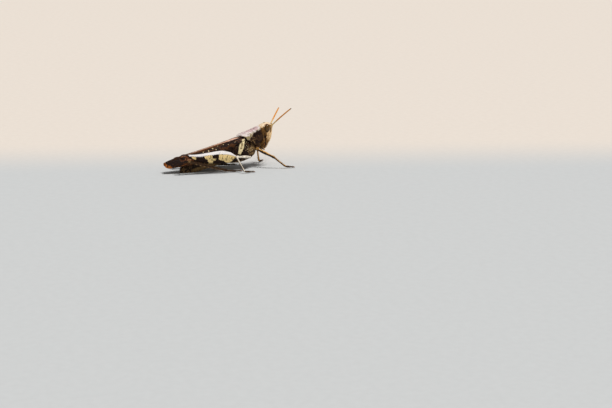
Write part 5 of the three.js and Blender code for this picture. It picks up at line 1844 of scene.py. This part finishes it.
def build_lights(studio):
    """Soft light from all round, and a broad sun from above and behind the camera."""
    world = bpy.data.worlds.new("Studio Sky")
    bpy.context.scene.world = world
    world.use_nodes = True
    tree = world.node_tree
    sky = tree.nodes["Background"]
    feed(tree, sky, {"Color": SKY_COLOUR, "Strength": studio.sky})
    seen = add_node(tree, "ShaderNodeBackground", {"Color": (*studio.haze, 1), "Strength": 1.0})
    straight = tree.nodes.new("ShaderNodeLightPath").outputs["Is Camera Ray"]
    both = {0: straight, 1: sky.outputs[0], 2: seen.outputs[0]}
    mixed = add_node(tree, "ShaderNodeMixShader", both)
    feed(tree, tree.nodes["World Output"], {"Surface": mixed.outputs[0]})
    sun = bpy.data.lights.new("studio_sun", "SUN")
    sun.energy, sun.angle, sun.color = studio.sun, SUN_SPREAD, SUN_COLOUR
    lamp = bpy.data.objects.new("studio_sun", sun)
    towards = behind_locust(studio) * -SUN_LEAN + SUN_PLACE
    lamp.rotation_euler = towards.to_track_quat("Z", "Y").to_euler()
    bpy.context.scene.collection.objects.link(lamp)


def build_camera(studio):
    """A camera that stands out from the locust's middle, and turns so that the middle lies where
    FRAME_RIGHT and FRAME_UP say."""
    lens, rise = studio.lens, studio.elevation
    right, above = FRAME_RIGHT * SENSOR, FRAME_UP * SENSOR
    flat = behind_locust(studio)
    back = -flat * math.cos(rise) + Vector((0, 0, math.sin(rise)))
    reach = math.hypot(above, lens)
    sight = math.hypot(right, reach)
    pitch = math.atan2(above, lens) + math.asin(sight * math.sin(rise) / reach)
    swing = math.atan2(right, lens * math.cos(pitch) + above * math.sin(pitch))
    turned = Matrix.Rotation(swing, 3, "Z") @ flat
    forward = turned * math.cos(pitch) - Vector((0, 0, math.sin(pitch)))
    data = bpy.data.cameras.new("studio_camera")
    data.lens, data.sensor_width = lens, SENSOR
    data.clip_start, data.clip_end = SIGHT_RANGE
    camera = bpy.data.objects.new("studio_camera", data)
    camera.location = studio_middle() + back * studio.distance
    camera.rotation_euler = forward.to_track_quat("-Z", "Y").to_euler()
    bpy.context.scene.collection.objects.link(camera)
    bpy.context.scene.camera = camera


def studio_middle():
    """The point of the locust that the camera is set out from."""
    wing_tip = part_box("wing_left")[1].y
    return Vector((BODY_X * MM, wing_tip - AIM_AHEAD * MM, AIM_UP * MM))


# ---------------------------------------------------------------- operators
class LOCUST_OT_finishes(bpy.types.Operator):
    """Make the finishes of shell, wings, eyes, spines and hairs"""
    bl_idname = "locust.finishes"
    bl_label = "Finishes"

    def execute(self, context):
        make_materials(context.scene.locust_colours)
        return {"FINISHED"}


class LOCUST_OT_studio(bpy.types.Operator):
    """Set the floor, the light and the camera"""
    bl_idname = "locust.studio"
    bl_label = "Studio"

    def execute(self, context):
        studio = context.scene.locust_studio
        context.scene.view_settings.view_transform = "Standard"
        build_floor(studio)
        build_lights(studio)
        build_camera(studio)
        return {"FINISHED"}


class LOCUST_OT_shield(bpy.types.Operator):
    """Build the pronotum's saddle"""
    bl_idname = "locust.shield"
    bl_label = "Pronotum"

    def execute(self, context):
        build_shield()
        return {"FINISHED"}


class LOCUST_OT_thorax(bpy.types.Operator):
    """Build the side plates of the thorax and the plate between the fore legs"""
    bl_idname = "locust.thorax"
    bl_label = "Thorax"

    def execute(self, context):
        build_thorax()
        build_prosternum()
        return {"FINISHED"}


class LOCUST_OT_abdomen(bpy.types.Operator):
    """Build the abdomen's rings and end plates"""
    bl_idname = "locust.abdomen"
    bl_label = "Abdomen"

    def execute(self, context):
        build_abdomen()
        return {"FINISHED"}


class LOCUST_OT_head(bpy.types.Operator):
    """Build the head, with its simple eyes, mouth flap and jointed palps"""
    bl_idname = "locust.head"
    bl_label = "Head"

    def execute(self, context):
        build_head()
        build_ocelli()
        build_labrum()
        for word, side in SIDES.items():
            build_palps(word, side)
        return {"FINISHED"}


class LOCUST_OT_eyes(bpy.types.Operator):
    """Build the pair of faceted eyes"""
    bl_idname = "locust.eyes"
    bl_label = "Eyes"

    def execute(self, context):
        for word, side in SIDES.items():
            build_eye(word, side)
        return {"FINISHED"}


class LOCUST_OT_feelers(bpy.types.Operator):
    """Build the pair of jointed feelers"""
    bl_idname = "locust.feelers"
    bl_label = "Feelers"

    def execute(self, context):
        for word, side in SIDES.items():
            build_feeler(word, side, context.scene.locust_detail)
        return {"FINISHED"}


class LOCUST_OT_fore_wings(bpy.types.Operator):
    """Build the veined fore wings folded over the back"""
    bl_idname = "locust.fore_wings"
    bl_label = "Fore wings"

    def execute(self, context):
        for word, side in SIDES.items():
            build_fore_wing(word, side, context.scene.locust_detail)
        return {"FINISHED"}


class LOCUST_OT_hind_wings(bpy.types.Operator):
    """Build the pleated hind wings under the fore wings"""
    bl_idname = "locust.hind_wings"
    bl_label = "Hind wings"

    def execute(self, context):
        for word, side in SIDES.items():
            build_hind_wing(word, side)
        return {"FINISHED"}


class LOCUST_OT_thighs(bpy.types.Operator):
    """Build the hips and thighs of the six legs"""
    bl_idname = "locust.thighs"
    bl_label = "Hips and thighs"

    def execute(self, context):
        for name in LEGS:
            build_hip(name)
            if name.startswith("hind"):
                build_hind_thigh(name, context.scene.locust_detail)
            else:
                build_thigh(name)
        return {"FINISHED"}


class LOCUST_OT_shins(bpy.types.Operator):
    """Build the shins and their spines"""
    bl_idname = "locust.shins"
    bl_label = "Shins"

    def execute(self, context):
        for name in LEGS:
            build_shin(name)
            build_spines(name, context.scene.locust_detail)
        return {"FINISHED"}


class LOCUST_OT_feet(bpy.types.Operator):
    """Build the jointed feet and their claws"""
    bl_idname = "locust.feet"
    bl_label = "Feet"

    def execute(self, context):
        for name in LEGS:
            build_foot(name)
            build_claws(name)
        return {"FINISHED"}


class LOCUST_OT_hairs(bpy.types.Operator):
    """Strew fine hairs over the legs, the underside and the mouth"""
    bl_idname = "locust.hairs"
    bl_label = "Fine hairs"

    def execute(self, context):
        detail = context.scene.locust_detail
        for seed, name in enumerate(LEGS):
            build_leg_hairs(name, detail, 300 + 10 * seed)
        build_body_hairs(detail)
        return {"FINISHED"}


STEPS = (
    LOCUST_OT_finishes, LOCUST_OT_studio, LOCUST_OT_shield, LOCUST_OT_thorax,
    LOCUST_OT_abdomen, LOCUST_OT_head, LOCUST_OT_eyes, LOCUST_OT_feelers,
    LOCUST_OT_fore_wings, LOCUST_OT_hind_wings, LOCUST_OT_thighs, LOCUST_OT_shins,
    LOCUST_OT_feet, LOCUST_OT_hairs,
)
SETTINGS = {
    "locust_colours": LocustColours, "locust_detail": LocustDetail, "locust_studio": LocustStudio
}


class LOCUST_PT_sidebar(bpy.types.Panel):
    """The locust's settings and the steps that build it"""
    bl_idname = "LOCUST_PT_sidebar"
    bl_label = "Locust"
    bl_space_type = "VIEW_3D"
    bl_region_type = "UI"
    bl_category = "Locust"

    def draw(self, context):
        for name, group in SETTINGS.items():
            box = self.layout.box()
            for setting in group.__annotations__:
                box.prop(getattr(context.scene, name), setting)
        for step in STEPS:
            self.layout.operator(step.bl_idname)


def register():
    for group in SETTINGS.values():
        bpy.utils.register_class(group)
    for name, group in SETTINGS.items():
        setattr(bpy.types.Scene, name, PointerProperty(type=group))
    for step in STEPS:
        bpy.utils.register_class(step)
    bpy.utils.register_class(LOCUST_PT_sidebar)


def unregister():
    bpy.utils.unregister_class(LOCUST_PT_sidebar)
    for step in reversed(STEPS):
        bpy.utils.unregister_class(step)
    for name, group in SETTINGS.items():
        delattr(bpy.types.Scene, name)
        bpy.utils.unregister_class(group)


def main():
    register()
    for step in STEPS:
        name = step.bl_idname.split(".")[1]
        getattr(bpy.ops.locust, name)()


if __name__ == "__main__":
    main()
